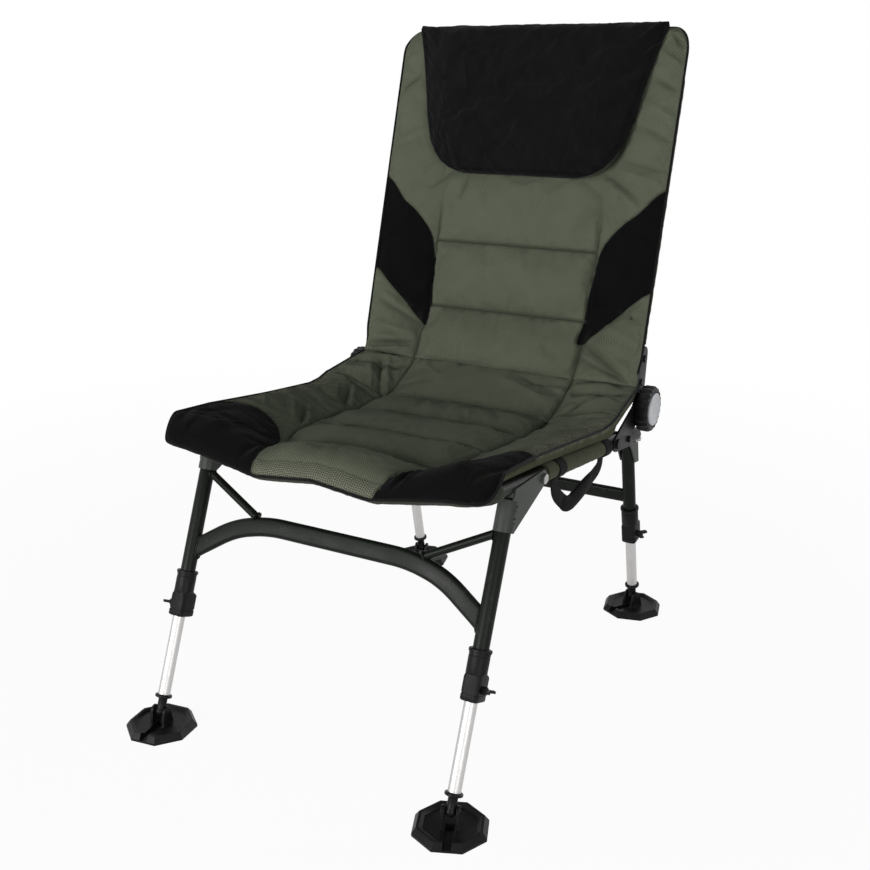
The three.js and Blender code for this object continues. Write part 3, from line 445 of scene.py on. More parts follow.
def lumps(a, b, size, seed):
    """Smooth bumps from -1 to 1, about one size across, the same on each run."""
    table = np.random.default_rng(seed).uniform(-1, 1, (LUMP_TABLE, LUMP_TABLE))
    u, v = np.asarray(a) / size + 16, np.asarray(b) / size + 16
    i, j = np.floor(u).astype(int), np.floor(v).astype(int)
    s, t = eased(u - i), eased(v - j)

    def corner(di, dj):
        return table[(i + di) % LUMP_TABLE, (j + dj) % LUMP_TABLE]

    near = corner(0, 0) * (1 - s) + corner(1, 0) * s
    far = corner(0, 1) * (1 - s) + corner(1, 1) * s
    return near * (1 - t) + far * t


def beside(a, b, start, end):
    """How far each place lies from a line, and how full the fold on it is there."""
    da, db = end[0] - start[0], end[1] - start[1]
    share = np.clip(((a - start[0]) * da + (b - start[1]) * db) / (da * da + db * db), 0, 1)
    off = np.hypot(a - start[0] - share * da, b - start[1] - share * db)
    return off, 0.2 + 0.8 * np.sin(math.pi * share) ** 0.7


def folds(a, b, lines):
    """Ridges and creases: each line has two ends, a width and a height, negative for a crease."""
    total = np.zeros_like(a)
    for start, end, width, height in lines:
        off, fullness = beside(a, b, start, end)
        total += height * np.exp(-((off / width) ** 1.3)) * fullness
    return total


def crease_shade(a, b, lines):
    """Painted shade: 1 in the bottom of the deep creases and 0 beside them."""
    total = np.zeros_like(a)
    for start, end, width, height in lines:
        if height < -SHADED_DEPTH:
            off, fullness = beside(a, b, start, end)
            depth = min(1.0, -height / FULL_DEPTH)
            total = np.maximum(total, depth * groove(off, 0.45 * width) * fullness)
    return CREASE_SHADE * total


def smooth_outline(points, steps=6):
    """A closed outline rounded between its points."""
    points = [np.array(p, float) for p in points]
    count = len(points)
    result = []
    for i in range(count):
        p0, p1, p2, p3 = (points[(i + k - 1) % count] for k in range(4))
        for step in range(steps):
            t = step / steps
            result.append(
                0.5 * (2 * p1 + (p2 - p0) * t + (2 * p0 - 5 * p1 + 4 * p2 - p3) * t * t
                       + (3 * p1 - p0 - 3 * p2 + p3) * t ** 3)
            )
    return np.array(result)


def inside_by(a, b, outline):
    """How far each place lies inside an outline, negative outside."""
    near = np.full(a.shape, 1e9)
    inside = np.zeros(a.shape, bool)
    for (a0, b0), (a1, b1) in zip(outline, np.roll(outline, -1, axis=0)):
        da, db = a1 - a0, b1 - b0
        share = np.clip(((a - a0) * da + (b - b0) * db) / (da * da + db * db + 1e-9), 0, 1)
        near = np.minimum(near, np.hypot(a - a0 - share * da, b - b0 - share * db))
        if b0 != b1:
            crosses = (b0 > b) != (b1 > b)
            inside ^= crosses & (a < (b - b0) * da / (b1 - b0) + a0)
    return np.where(inside, near, -near)


def spaced(length, step, edge, fine):
    """Places from 0 to length that stand closer together near both ends."""
    places = [0.0]
    while places[-1] < length / 2:
        to_edge = places[-1]
        places.append(places[-1] + (fine if to_edge < edge else step))
    half = np.array(places) * (length / 2 / places[-1])
    return np.concatenate([half, length - half[-2::-1]])


def round_rim(distance, radius):
    """0 on a rim and 1 a radius inside it, as a quarter circle."""
    share = np.clip(distance / radius, 0, 1)
    return np.sqrt(np.maximum(0, 1 - (1 - share) ** 2))


def run_along(points, axis):
    """How far each point lies along the cloth from the middle, measured on the surface."""
    steps = np.linalg.norm(np.diff(points, axis=axis), axis=2)
    start = np.zeros_like(np.take(steps, [0], axis=axis))
    runs = np.concatenate([start, np.cumsum(steps, axis=axis)], axis=axis)
    return runs - np.take(runs, [points.shape[axis] // 2], axis=axis)


def closed_quilt(name, upper, lower, marks):
    """A closed padded form from an upper and a lower grid of points that share their rim."""
    rows, columns = upper.shape[:2]
    top = np.arange(rows * columns).reshape(rows, columns)
    under = top.copy()
    inner = (rows - 2) * (columns - 2)
    under[1:-1, 1:-1] = rows * columns + np.arange(inner).reshape(rows - 2, columns - 2)
    points = np.concatenate([upper.reshape(-1, 3), lower[1:-1, 1:-1].reshape(-1, 3)])

    def quads(index, flipped):
        corners = [index[:-1, :-1], index[:-1, 1:], index[1:, 1:], index[1:, :-1]]
        stack = np.stack(corners[::-1] if flipped else corners, axis=-1)
        return stack.reshape(-1, 4)

    faces = np.concatenate([quads(top, False), quads(under, True)]).tolist()
    piece = outward(new_piece(name, points, faces))

    def everywhere(values):
        return np.concatenate([values.reshape(-1), values[1:-1, 1:-1].reshape(-1)])

    places = np.zeros((len(points), 3))
    places[:, 0] = everywhere(run_along(upper, 1)) * MM
    places[:, 1] = everywhere(run_along(upper, 0)) * MM
    store(piece, "cloth", places)
    for key, values in marks.items():
        store(piece, key, everywhere(np.asarray(values, float)))
    store(piece, "under", np.arange(len(points)) >= rows * columns)
    return piece


def free_top(free):
    """Marks the points of a quilt that may move; its rim and its under side stay."""
    inner = (free.shape[0] - 2) * (free.shape[1] - 2)
    return np.concatenate([free.astype(float).reshape(-1), np.zeros(inner)])


def settled(piece, free, cap):
    """Runs cloth, a little larger than the piece, on its free points, and keeps moves up to a cap."""
    scene = bpy.context.scene
    before = np.empty(len(piece.data.vertices) * 3)
    piece.data.vertices.foreach_get("co", before)
    pins = piece.vertex_groups.new(name="pins")
    pins.add([int(i) for i in np.flatnonzero(free < 0.5)], 1.0, "REPLACE")
    cloth = piece.modifiers.new("settle", "CLOTH")
    for key, value in CLOTH_STIFFNESS.items():
        setattr(cloth.settings, f"{key}_stiffness", value)
    cloth.settings.quality = CLOTH_QUALITY
    cloth.settings.mass = CLOTH_MASS
    cloth.settings.shrink_min = -CLOTH_SPARE
    cloth.settings.use_pressure = True
    cloth.settings.uniform_pressure_force = CLOTH_PRESSURE
    cloth.settings.effector_weights.gravity = 0
    cloth.settings.vertex_group_mass = pins.name
    cloth.collision_settings.use_collision = False
    for frame_number in range(1, CLOTH_FRAMES + 1):
        scene.frame_set(frame_number)
    after = np.empty_like(before)
    settled_piece = piece.evaluated_get(bpy.context.evaluated_depsgraph_get())
    settled_piece.data.vertices.foreach_get("co", after)
    piece.modifiers.remove(cloth)
    piece.vertex_groups.remove(pins)
    scene.frame_set(1)
    moves = (after - before).reshape(-1, 3)
    length = np.linalg.norm(moves, axis=1, keepdims=True) + 1e-9
    moves *= cap * MM * np.tanh(length / (cap * MM)) / length
    piece.data.vertices.foreach_set("co", before + moves.ravel())
    piece.data.update()


def store(piece, key, values):
    """Keeps a number or a place for each point of a mesh, which its material reads."""
    values = np.asarray(values, np.float32)
    kind, field = ("FLOAT_VECTOR", "vector") if values.ndim == 2 else ("FLOAT", "value")
    attribute = piece.data.attributes.new(key, kind, "POINT")
    attribute.data.foreach_set(field, values.ravel())


def store_flat(piece):
    """Cloth places for a piece that isn't a quilt, from its own x, y and z."""
    points = np.array([v.co for v in piece.data.vertices])
    x, y, z = points.T
    store(piece, "cloth", np.stack([x, y - z, y * 0], axis=1))


def dressed(piece, body, slot, material, *nodes):
    """Puts a finished piece on its body, in its material and in place of its nodes."""
    piece.data.materials.clear()
    piece.data.materials.append(material)
    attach(piece, body)
    if nodes:
        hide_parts(*nodes)


# Materials


# Bands of Blender's wave texture at scale 1 lie this far apart
WAVE_PITCH = 0.628
WEBBING_RIB = 1.6
NET_PITCH = 3.4


def shade(colour, scale, lift=0.0):
    """A lighter or darker tone of a colour."""
    return tuple(c * scale + lift for c in colour)


class Finish:
    """A material with its shader and short ways to add nodes and links."""

    def __init__(self, name, colour, roughness, **sockets):
        self.material = bpy.data.materials.new(name)
        self.material.use_nodes = True
        self.tree = self.material.node_tree
        self.shader = self.tree.nodes["Principled BSDF"]
        self.shader.inputs["Base Color"].default_value = (*colour, 1)
        self.shader.inputs["Roughness"].default_value = roughness
        for key, value in sockets.items():
            self.shader.inputs[key.replace("_", " ")].default_value = value

    def add(self, kind, inputs=None, **values):
        node = self.tree.nodes.new(kind)
        for key, value in values.items():
            setattr(node, key, value)
        for key, value in (inputs or {}).items():
            if hasattr(value, "is_output"):
                self.tree.links.new(value, node.inputs[key])
            else:
                node.inputs[key].default_value = value
        return node

    def to(self, socket, output):
        self.tree.links.new(output, self.shader.inputs[socket])

    def place(self):
        return self.add("ShaderNodeTexCoord").outputs["Object"]

    def mark(self, key):
        return self.add("ShaderNodeAttribute", attribute_name=key)

    def noise(self, scale, place, detail):
        inputs = {"Scale": scale, "Vector": place, "Detail": detail}
        return self.add("ShaderNodeTexNoise", inputs).outputs["Fac"]

    def bands(self, place, scale, **inputs):
        inputs = {key.replace("_", " "): value for key, value in inputs.items()}
        node = self.add(
            "ShaderNodeTexWave", {"Vector": place, "Scale": scale, **inputs},
            wave_type="BANDS", bands_direction="DIAGONAL",
        )
        return node.outputs["Fac"]

    def ramp(self, value, low, high, start=0.0, end=1.0):
        inputs = {"Value": value, "From Min": low, "From Max": high, "To Min": start, "To Max": end}
        return self.add("ShaderNodeMapRange", inputs).outputs["Result"]

    def mix(self, share, first, second):
        """Goes from the first colour to the second by the share."""
        node = self.add("ShaderNodeMix", data_type="RGBA", blend_type="MIX")
        for index, value in ((0, share), (6, first), (7, second)):
            socket = node.inputs[index]
            if hasattr(value, "is_output"):
                self.tree.links.new(value, socket)
            elif isinstance(value, float):
                socket.default_value = value
            else:
                socket.default_value = (*value, 1)
        return node.outputs[2]

    def sum(self, first, second, operation="ADD"):
        """The sum of two values, or what another operation makes of them."""
        return self.add("ShaderNodeMath", {0: first, 1: second}, operation=operation).outputs[0]

    def bump(self, height, strength, distance):
        inputs = {"Height": height, "Strength": strength, "Distance": distance}
        return self.add("ShaderNodeBump", inputs).outputs["Normal"]


def twill(finish, cloth, pitch):
    """Diagonal threads with a finer thread across them."""
    per_band = WAVE_PITCH / (pitch * MM)
    ribs = finish.bands(cloth, per_band, Distortion=0.6, Detail_Scale=4.0)
    turn = finish.add("ShaderNodeMapping", {"Vector": cloth, "Rotation": (0, 0, math.pi / 2)})
    cross = finish.bands(turn.outputs[0], per_band * 1.7, Distortion=0.4)
    return finish.sum(ribs, finish.sum(cross, 0.45, "MULTIPLY"))


def cloth_finish(name, colour, patch_colour=None, net_colour=None, under_colour=None,
                 pitch=4.2, sheen=0.02):
    """Coated cloth with a twill; marks on the mesh say where a black patch or a net strip lies, and
    where painted shade darkens the seams and the bottoms of creases.
    """
    finish = Finish(
        name, colour, 0.9, Sheen_Weight=sheen, Sheen_Roughness=0.5, Specular_IOR_Level=0.025,
    )
    cloth = finish.mark("cloth").outputs["Vector"]
    threads = twill(finish, cloth, pitch)
    cloudy = finish.noise(22.0, cloth, 4.0)
    fine = finish.noise(900.0, cloth, 2.0)
    dark = shade(colour, 0.72)
    light = shade(colour, 1.25)
    tone = finish.ramp(threads, 0.2, 1.2)
    base = finish.mix(tone, dark, light)
    base = finish.mix(finish.ramp(cloudy, 0.35, 0.7, 0.0, 0.4), base, shade(colour, 0.78))
    height = finish.sum(threads, finish.sum(fine, 0.5, "MULTIPLY"))
    if net_colour is not None:
        share = finish.ramp(finish.mark("net").outputs["Fac"], -0.6, 0.6)
        inputs = {"Vector": cloth, "Scale": 1 / (NET_PITCH * MM), "Randomness": 0.0}
        diamonds = finish.add("ShaderNodeTexVoronoi", inputs, feature="F1")
        holes = finish.ramp(diamonds.outputs["Distance"], 0.28, 0.46)
        net = finish.mix(holes, shade(net_colour, 0.35), net_colour)
        base = finish.mix(share, base, net)
        relief = finish.sum(finish.sum(holes, share, "MULTIPLY"), 1.6, "MULTIPLY")
        height = finish.sum(height, relief)
    if patch_colour is not None:
        share = finish.ramp(finish.mark("patch").outputs["Fac"], -0.7, 0.7)
        black = finish.mix(tone, shade(patch_colour, 0.7), shade(patch_colour, 1.5))
        base = finish.mix(share, base, black)
    if under_colour is not None:
        base = finish.mix(finish.mark("under").outputs["Fac"], base, under_colour)
    # Painted shade: the cloth darkens to a quarter of its colour along the seams and in the bottoms of
    # creases
    crease = finish.ramp(finish.mark("seam_and_crease_shade").outputs["Fac"], 0.0, 1.0)
    base = finish.mix(crease, base, shade(colour, 0.25))
    finish.to("Base Color", base)
    finish.to("Roughness", finish.ramp(cloudy, 0.3, 0.7, 0.8, 0.95))
    finish.to("Normal", finish.bump(height, 0.55, 0.0004))
    return finish.material


def plain_cloth(name, colour, pitch):
    """Thin cloth of one colour with a twill."""
    finish = Finish(name, colour, 0.9, Sheen_Weight=0.05, Sheen_Roughness=0.5, Specular_IOR_Level=0.12)
    cloth = finish.mark("cloth").outputs["Vector"]
    threads = twill(finish, cloth, pitch)
    cloudy = finish.noise(30.0, cloth, 4.0)
    base = finish.mix(finish.ramp(threads, 0.2, 1.2), shade(colour, 0.65), shade(colour, 1.4))
    base = finish.mix(finish.ramp(cloudy, 0.35, 0.7, 0.0, 0.5), base, shade(colour, 0.7))
    finish.to("Base Color", base)
    finish.to("Normal", finish.bump(threads, 0.5, 0.0004))
    return finish.material


def webbing_finish(name, colour):
    """Woven webbing with ribs across it."""
    finish = Finish(name, colour, 0.75, Sheen_Weight=0.02, Specular_IOR_Level=0.05)
    place = finish.place()
    ribs = finish.bands(place, WAVE_PITCH / (WEBBING_RIB * MM))
    base = finish.mix(ribs, shade(colour, 0.6), shade(colour, 1.8))
    finish.to("Base Color", base)
    finish.to("Normal", finish.bump(ribs, 0.6, 0.0005))
    return finish.material


def paint_finish(name, colour, roughness, peel=0.12):
    """Paint on steel: a faint ripple, uneven gloss and a little dust."""
    finish = Finish(name, colour, roughness, Specular_IOR_Level=0.1)
    place = finish.place()
    uneven = finish.noise(18.0, place, 5.0)
    grain = finish.noise(650.0, place, 2.0)
    dust = finish.noise(60.0, place, 6.0)
    base = finish.mix(
        finish.ramp(uneven, 0.35, 0.65, 0.0, 0.6), shade(colour, 0.8), shade(colour, 1.2),
    )
    base = finish.mix(finish.ramp(dust, 0.6, 0.75, 0.0, 0.25), base, shade(colour, 0.6, 0.05))
    finish.to("Base Color", base)
    finish.to("Roughness", finish.ramp(uneven, 0.3, 0.7, roughness * 0.8, roughness * 1.3))
    finish.to("Normal", finish.bump(grain, peel, 0.0003))
    return finish.material


def metal_finish(name, colour, roughness, streak=(40.0, 40.0, 2.0)):
    """Bare metal with fine drawn lines."""
    finish = Finish(name, colour, roughness, Metallic=1.0)
    place = finish.place()
    stretched = finish.add("ShaderNodeMapping", {"Vector": place, "Scale": streak}).outputs[0]
    lines = finish.noise(30.0, stretched, 5.0)
    spots = finish.noise(45.0, place, 6.0)
    base = finish.mix(finish.ramp(spots, 0.55, 0.75, 0.0, 0.35), colour, shade(colour, 0.75))
    finish.to("Base Color", base)
    finish.to("Roughness", finish.ramp(lines, 0.3, 0.7, roughness * 0.75, roughness * 1.4))
    finish.to("Normal", finish.bump(lines, 0.08, 0.0003))
    return finish.material


def plastic_finish(name, colour, roughness, texture=0.25):
    """Moulded plastic with a fine spark-eroded grain."""
    finish = Finish(name, colour, roughness, Specular_IOR_Level=0.12)
    place = finish.place()
    grain = finish.noise(1500.0, place, 2.0)
    scuffs = finish.noise(35.0, place, 8.0)
    base = finish.mix(finish.ramp(scuffs, 0.55, 0.8, 0.0, 0.5), colour, shade(colour, 1.6, 0.01))
    finish.to("Base Color", base)
    finish.to("Roughness", finish.ramp(scuffs, 0.4, 0.7, roughness, roughness * 1.35))
    finish.to("Normal", finish.bump(grain, texture, 0.0002))
    return finish.material


def materials():
    """All finishes, made once."""
    made = bpy.data.materials
    if "green_twill" in made:
        return made
    chair = settings()
    green, black, net = tuple(chair.green), tuple(chair.black), tuple(chair.net)
    cloth_finish("green_twill", green, black, net, tuple(chair.olive))
    cloth_finish("headrest_cloth", shade(black, 1.7), pitch=3.0, sheen=0.05)
    plain_cloth("olive_cloth", tuple(chair.olive), 2.4)
    # The front hem: dark green-black cloth, darker still by painted shade where it lies under the
    # seat's nose
    plain_cloth("dark_hem", shade(green, 0.3), 2.4)
    plain_cloth("piping_cloth", shade(black, 1.1), 1.5)
    webbing_finish("woven_webbing", tuple(chair.webbing))
    paint_finish("green_black_paint", tuple(chair.paint), 0.36)
    paint_finish("grey_green_paint", tuple(chair.grey_paint), 0.42)
    paint_finish("black_paint", tuple(chair.black_paint), 0.4)
    metal_finish("drawn_aluminium", (0.52, 0.51, 0.505), 0.42)
    metal_finish("zinc_plate", (0.34, 0.34, 0.33), 0.3, (6.0, 6.0, 6.0))
    plastic_finish("moulded_plastic", tuple(chair.plastic), 0.42)
    plastic_finish("foot_plastic", tuple(chair.plastic), 0.36, 0.15)
    plastic_finish("disc_plastic", (0.5, 0.51, 0.53), 0.4, 0.1)
    return made


# The shapes of the seat


def bow_lift(x):
    return -np.interp(np.abs(x), BOW_X, BOW_DROP)


def swell_between(seams, along):
    """0 on each seam and 1 half way between two of them, steep beside the seam."""
    total = np.zeros_like(along)
    for low, high in zip(seams, seams[1:]):
        share = np.clip((along - low) / (high - low), 0, 1)
        total = np.maximum(total, np.maximum(0, np.sin(math.pi * share)) ** 0.55)
    return total


def pucker(across, along, seams, reach, seed):
    """Small gathers that run square to each seam and die out beside it."""
    total = np.zeros_like(across)
    for index, seam in enumerate(seams):
        off = np.abs(along - seam)
        narrow = lumps(across, off * 0.35 + index * 90, size=7.0, seed=seed + index)
        wide = lumps(across, off * 0.2 + index * 70, size=23.0, seed=seed + index + 5)
        total += np.exp(-off / reach) * narrow
        total += 1.2 * np.exp(-off / (2.2 * reach)) * wide
    return total


def groove(distance, width):
    return np.exp(-((distance / width) ** 2))


def on_lines(places, lines, width):
    """1 on each of the lines and 0 a little beside them."""
    return np.max([groove(places - line, width) for line in lines], axis=0)


def gathers(off, run, height, reach, seed):
    """Short gathers that run square to a seam and die out beside it."""
    return height * np.exp(-off / reach) * lumps(run, off * 0.4, 9, seed)


def patch_step(patch, depth, width):
    """How far the cloth lies lower on a patch and along the seam round it."""
    return depth * groove(patch, width) + 1.0 * (patch > 0)


# Painted shade along the seam just outside a black patch's edge
def patch_seam_shade(patch):
    return 0.7 * groove(patch + 1.2, 1.1)


def may_move(rim, seam_and_crease_shade):
    """What the cloth run may move: the cloth away from the rim and from the seams and creases that
    carry painted shade.
    """
    return (rim > PINNED_RIM) & (seam_and_crease_shade < PINNED_SEAM_SHADE)


SEAT_FOLDS = (
    ((-160, -110), (-196, -50), 3.5, -7.5), ((-152, -100), (-188, -44), 4.5, 5.5),
    ((-168, -116), (-206, -62), 6, 3.5), ((-172, 26), (-206, 92), 3.5, -7.5),
    ((-162, 34), (-196, 96), 4.5, 5.5), ((-182, 18), (-218, 80), 6, 3.5),
    ((-176, -40), (-240, -4), 12, 3.0), ((-200, 20), (-250, 60), 9, -3.0),
    ((-196, -96), (-244, -40), 9, -3.0), ((-154, 96), (-226, 112), 6, -4.5),
    ((-214, -130), (-250, -80), 10, 2.6), ((168, -112), (246, -92), 9, -3.0),
    ((158, -96), (206, -42), 5, -5.0), ((166, -104), (214, -56), 6, 4.0),
    ((154, 16), (238, 52), 7, -5.5), ((158, 34), (232, 90), 8, 4.5), ((154, 94), (252, 102), 6, -5.0),
    ((170, -20), (246, 8), 10, 3.0), ((117, -300), (124, -236), 4, 5.0),
    ((126, -304), (131, -238), 3, -5.5), ((136, -300), (139, -246), 4, 4.5),
    ((-110, -300), (-116, -246), 5, 4.0), ((-121, -304), (-124, -262), 3, -3.6),
    ((205, -296), (196, -226), 14, 2.6), ((-70, -296), (-40, -220), 18, 2.2),
    ((40, -296), (30, -215), 20, 2.0), ((235, -296), (262, -246), 6, -3.4),
    ((-240, -292), (-262, -246), 6, -3.0), ((-200, -296), (-180, -220), 12, 2.2),
    ((0, -110), (60, -180), 24, -1.6), ((-90, -100), (-60, -170), 20, 1.8),
    ((100, -96), (120, -160), 14, 2.2), ((-60, 110), (-20, 40), 16, 2.0),
    ((60, 104), (110, 36), 12, -2.0), ((90, 20), (140, -70), 16, 1.8),
)


def seat_rim_lift(x, along):
    """Height of the seat's bound edge: along the sides over the rails, in front over the bow."""
    side = np.interp(along, PIPING_ALONG, PIPING_LIFT)
    near_front = eased(np.clip(1 - (along - SEAT_FRONT) / 36, 0, 1))
    near_front = np.where(np.abs(x) < SEAT_HALF - SEAT_CORNER - 12, 1, near_front)
    return side * (1 - near_front) + (bow_lift(x) - HEM_DROP) * near_front


def seat_lift(x, along):
    """The top of the seat cushion over the plane of the rails."""
    front = bow_lift(x) + PAD_SEAT + FRONT_LIP
    to_first = between(along, SEAT_SEAMS[0], SEAT_SEAMS[1])
    base = np.interp(along, SEAT_SEAMS, SEAM_LIFTS) + front * (1 - to_first)
    edge = np.interp(along, PIPING_ALONG, PIPING_LIFT)
    crease = np.interp(along, CREASE_ALONG, CREASE_X)
    out = between(np.abs(x), crease, SEAT_HALF)
    inner = 1 - np.minimum(np.abs(x) / crease, 1) ** 6
    swell = SEAT_CROWN * swell_between(SEAT_SEAMS, along) * inner
    return base + (edge - base) * eased(out) + swell + ROLL_CROWN * np.sin(math.pi * out)


def seat_half(along):
    """Half the seat's width, drawn in along its sides and round at the front corners."""
    reach = between(along, SEAT_FRONT, SEAT_REAR)
    near = np.clip(SEAT_CORNER - (along - SEAT_FRONT), 0, SEAT_CORNER)
    round_off = SEAT_CORNER - np.sqrt(SEAT_CORNER ** 2 - near ** 2)
    return SEAT_HALF - SEAT_DRAWN_IN * np.sin(math.pi * reach) - round_off


def grid_shares(half, step):
    """Places across a cushion from -1 to 1, closer together at both sides."""
    return spaced(2.0, step / half, EDGE_BAND / half, RIM_STEP / half) - 1


# The seat cushion's rims, its under side and its strips of net, in millimetres
SEAT_SIDE_ROUND = 14.0
SEAT_NOSE_ROUND = 46.0
SEAT_NOSE_PINNED = 40.0
SEAT_REAR_ROUND = 6.0
SEAT_REAR_DROP = 2.6
SEAT_CREASE_FROM = -205.0
SEAT_CREASE_FULL = -150.0
RAIL_BAND = 32.0
UNDER_NOSE = -262.0
NET_FRONT = -292.0
NET_FRONT_HALF = 112.0
NET_SIDE = 238.0
NET_SIDE_FROM = -230.0
NET_SIDE_TO = 96.0


def make_seat_cushion():
    """The quilted seat with its rolls, channels, folds, net strips and black corners."""
    chair = settings()
    along = SEAT_FRONT + spaced(SEAT_REAR - SEAT_FRONT, chair.grid, EDGE_BAND, EDGE_STEP)
    share, along = np.meshgrid(grid_shares(SEAT_HALF, chair.grid), along)
    x = share * seat_half(along)
    patch = inside_by(np.abs(x), along, smooth_outline(SEAT_PATCH))
    side = seat_half(along) - np.abs(x)
    front = along - SEAT_FRONT
    crease = np.interp(along, CREASE_ALONG, CREASE_X)
    off_crease = np.abs(np.abs(x) - crease)
    behind = eased(between(along, SEAT_CREASE_FROM, SEAT_CREASE_FULL))
    panel = np.abs(x) < crease
    cross_seams = SEAT_SEAMS[1:4]

    lift = seat_lift(x, along)
    lift -= chair.seam_depth * groove(off_crease, CREASE_WIDTH) * behind
    lift -= 0.5 * chair.seam_depth * on_lines(along, SEAT_SEAMS[1:], SEAM_WIDTH) * panel
    lift += WELT_HEIGHT * on_lines(along + WELT_BESIDE, cross_seams, WELT_WIDTH) * panel
    lift += 1.2 * pucker(x, along, SEAT_SEAMS[1:], reach=12, seed=3) * panel
    lift += gathers(off_crease, along, height=1.5, reach=15, seed=21) * behind
    lift += chair.fold_height * folds(x, along, SEAT_FOLDS)
    lift += 1.6 * lumps(x, along, size=46, seed=5) + 0.8 * lumps(x, along, size=17, seed=6)
    lift -= patch_step(patch, depth=1.6, width=2.2)
    rim_lift = seat_rim_lift(x, along)
    inward = np.minimum(round_rim(side, SEAT_SIDE_ROUND), round_rim(front, SEAT_NOSE_ROUND))
    upper = rim_lift + (lift - rim_lift) * inward
    upper = upper - SEAT_REAR_DROP * (1 - round_rim(SEAT_REAR - along, SEAT_REAR_ROUND))
    upper += 0.9 * groove(side - 9, 4) * lumps(x, along, size=12, seed=24)

    under = np.where(np.abs(x) > RAIL_X - RAIL_BAND, PAD_SEAT, seat_web_lift(x, along) + WEB_CLEAR)
    under = np.where(along < UNDER_NOSE, bow_lift(x) + PAD_SEAT - 2, under)
    thick = np.minimum(2.4, 0.8 * np.minimum(side, front))
    under = np.minimum(rim_lift + (under - rim_lift) * inward, upper - thick)

    net_front = np.minimum(NET_FRONT - along, NET_FRONT_HALF - np.abs(x))
    net_side = least(np.abs(x) - NET_SIDE, NET_SIDE_TO - along, along - NET_SIDE_FROM)
    # Painted shade along the seams across the panel, round the patches, in the side creases and in the
    # folds' bottoms
    seam_and_crease_shade = most(
        0.8 * on_lines(along, cross_seams, 1.6) * panel, patch_seam_shade(patch),
        groove(off_crease, CREASE_SHADE_WIDTH) * behind, crease_shade(x, along, SEAT_FOLDS),
    )
    cushion = closed_quilt(
        "seat_cushion", seat_at(x, along, upper), seat_at(x, along, under),
        {"patch": patch, "net": np.maximum(net_front, net_side), "seam_and_crease_shade": seam_and_crease_shade},
    )
    rim = least(side, front - SEAT_NOSE_PINNED, SEAT_REAR - along)
    settled(cushion, free_top(may_move(rim, seam_and_crease_shade)), CUSHION_MOVE)
    dressed(cushion, "seat_frame", "green_cloth", materials()["green_twill"], "seat_pad")


def seat_web_lift(x, along):
    """The middle of the cloth that is stretched between the rails."""
    hem_back = BOW_ALONG + TUBE + GAP + 0.85
    rear = REAR_BAR_ALONG - TUBE - GAP
    across = np.clip(1 - (x / (RAIL_X - TUBE)) ** 2, 0, 1)
    near_bow = 1 - eased(between(along, hem_back, hem_back + WEB_RISE))
    near_bar = eased(between(along, rear - WEB_RISE, rear))
    sag = -WEB_SAG * across * (1 - near_bar)
    return sag * (1 - near_bow) + bow_lift(x) * near_bow


# The wedge's rims and seams, in millimetres
WEDGE_EDGE_BAND = 12.0
WEDGE_REAR_SEAM = 206.0
WEDGE_SIDE_ROUND = 11.0
WEDGE_END_ROUND = 9.0
WEDGE_RIM_BAND = 12.0
WEDGE_END_DROP = 3.0


CORNER_FOLDS = (
    ((-164, 120), (-206, 190), 4, -8.0), ((-154, 128), (-192, 194), 5, 5.5),
    ((-176, 114), (-222, 180), 6, 4.5), ((-160, 180), (-244, 168), 6, -5.0),
    ((-172, 200), (-240, 188), 6, 5.5), ((-190, 150), (-250, 140), 9, 3.5),
    ((-156, 196), (-178, 178), 5, -4.5), ((-214, 196), (-244, 206), 5, -3.6),
    ((156, 132), (250, 186), 6, -7.5), ((160, 150), (252, 152), 7, 6.0),
    ((158, 182), (240, 176), 6, -6.0), ((160, 196), (236, 194), 5, 5.0),
    ((164, 166), (252, 164), 5, 3.6), ((20, 190), (130, 156), 9, 3.0), ((60, 200), (144, 176), 7, -3.6),
    ((-120, 196), (-60, 160), 14, 2.2), ((90, 186), (150, 186), 6, 3.4),
    ((168, 140), (236, 122), 7, -4.4),
)


def back_foot_line(x):
    """Where the wedge ends behind the back cushion's lower edge, along the seat and over it."""
    up = np.full_like(x, BACK_FROM)
    foot = back_at(x, up + TUCK_UP, back_rim_out(x, up) - TUCK_IN)
    off = foot - np.array(SEAT_ORIGIN)
    return off @ np.array(ALONG), off @ np.array(LIFT)


def wedge_half(climb):
    return (SEAT_HALF - 1.0) * (1 - climb) + BACK_HALF * climb


def wedge_edge(x, climb):
    """How far along the seat the wedge's places lie, its edge's height and its end's height."""
    end_along, end_lift = back_foot_line(x)
    along = SEAT_REAR + 0.5 + (end_along - SEAT_REAR - 1.0) * climb
    return along, PIPING_LIFT[6] + (end_lift - PIPING_LIFT[6]) * climb, end_lift


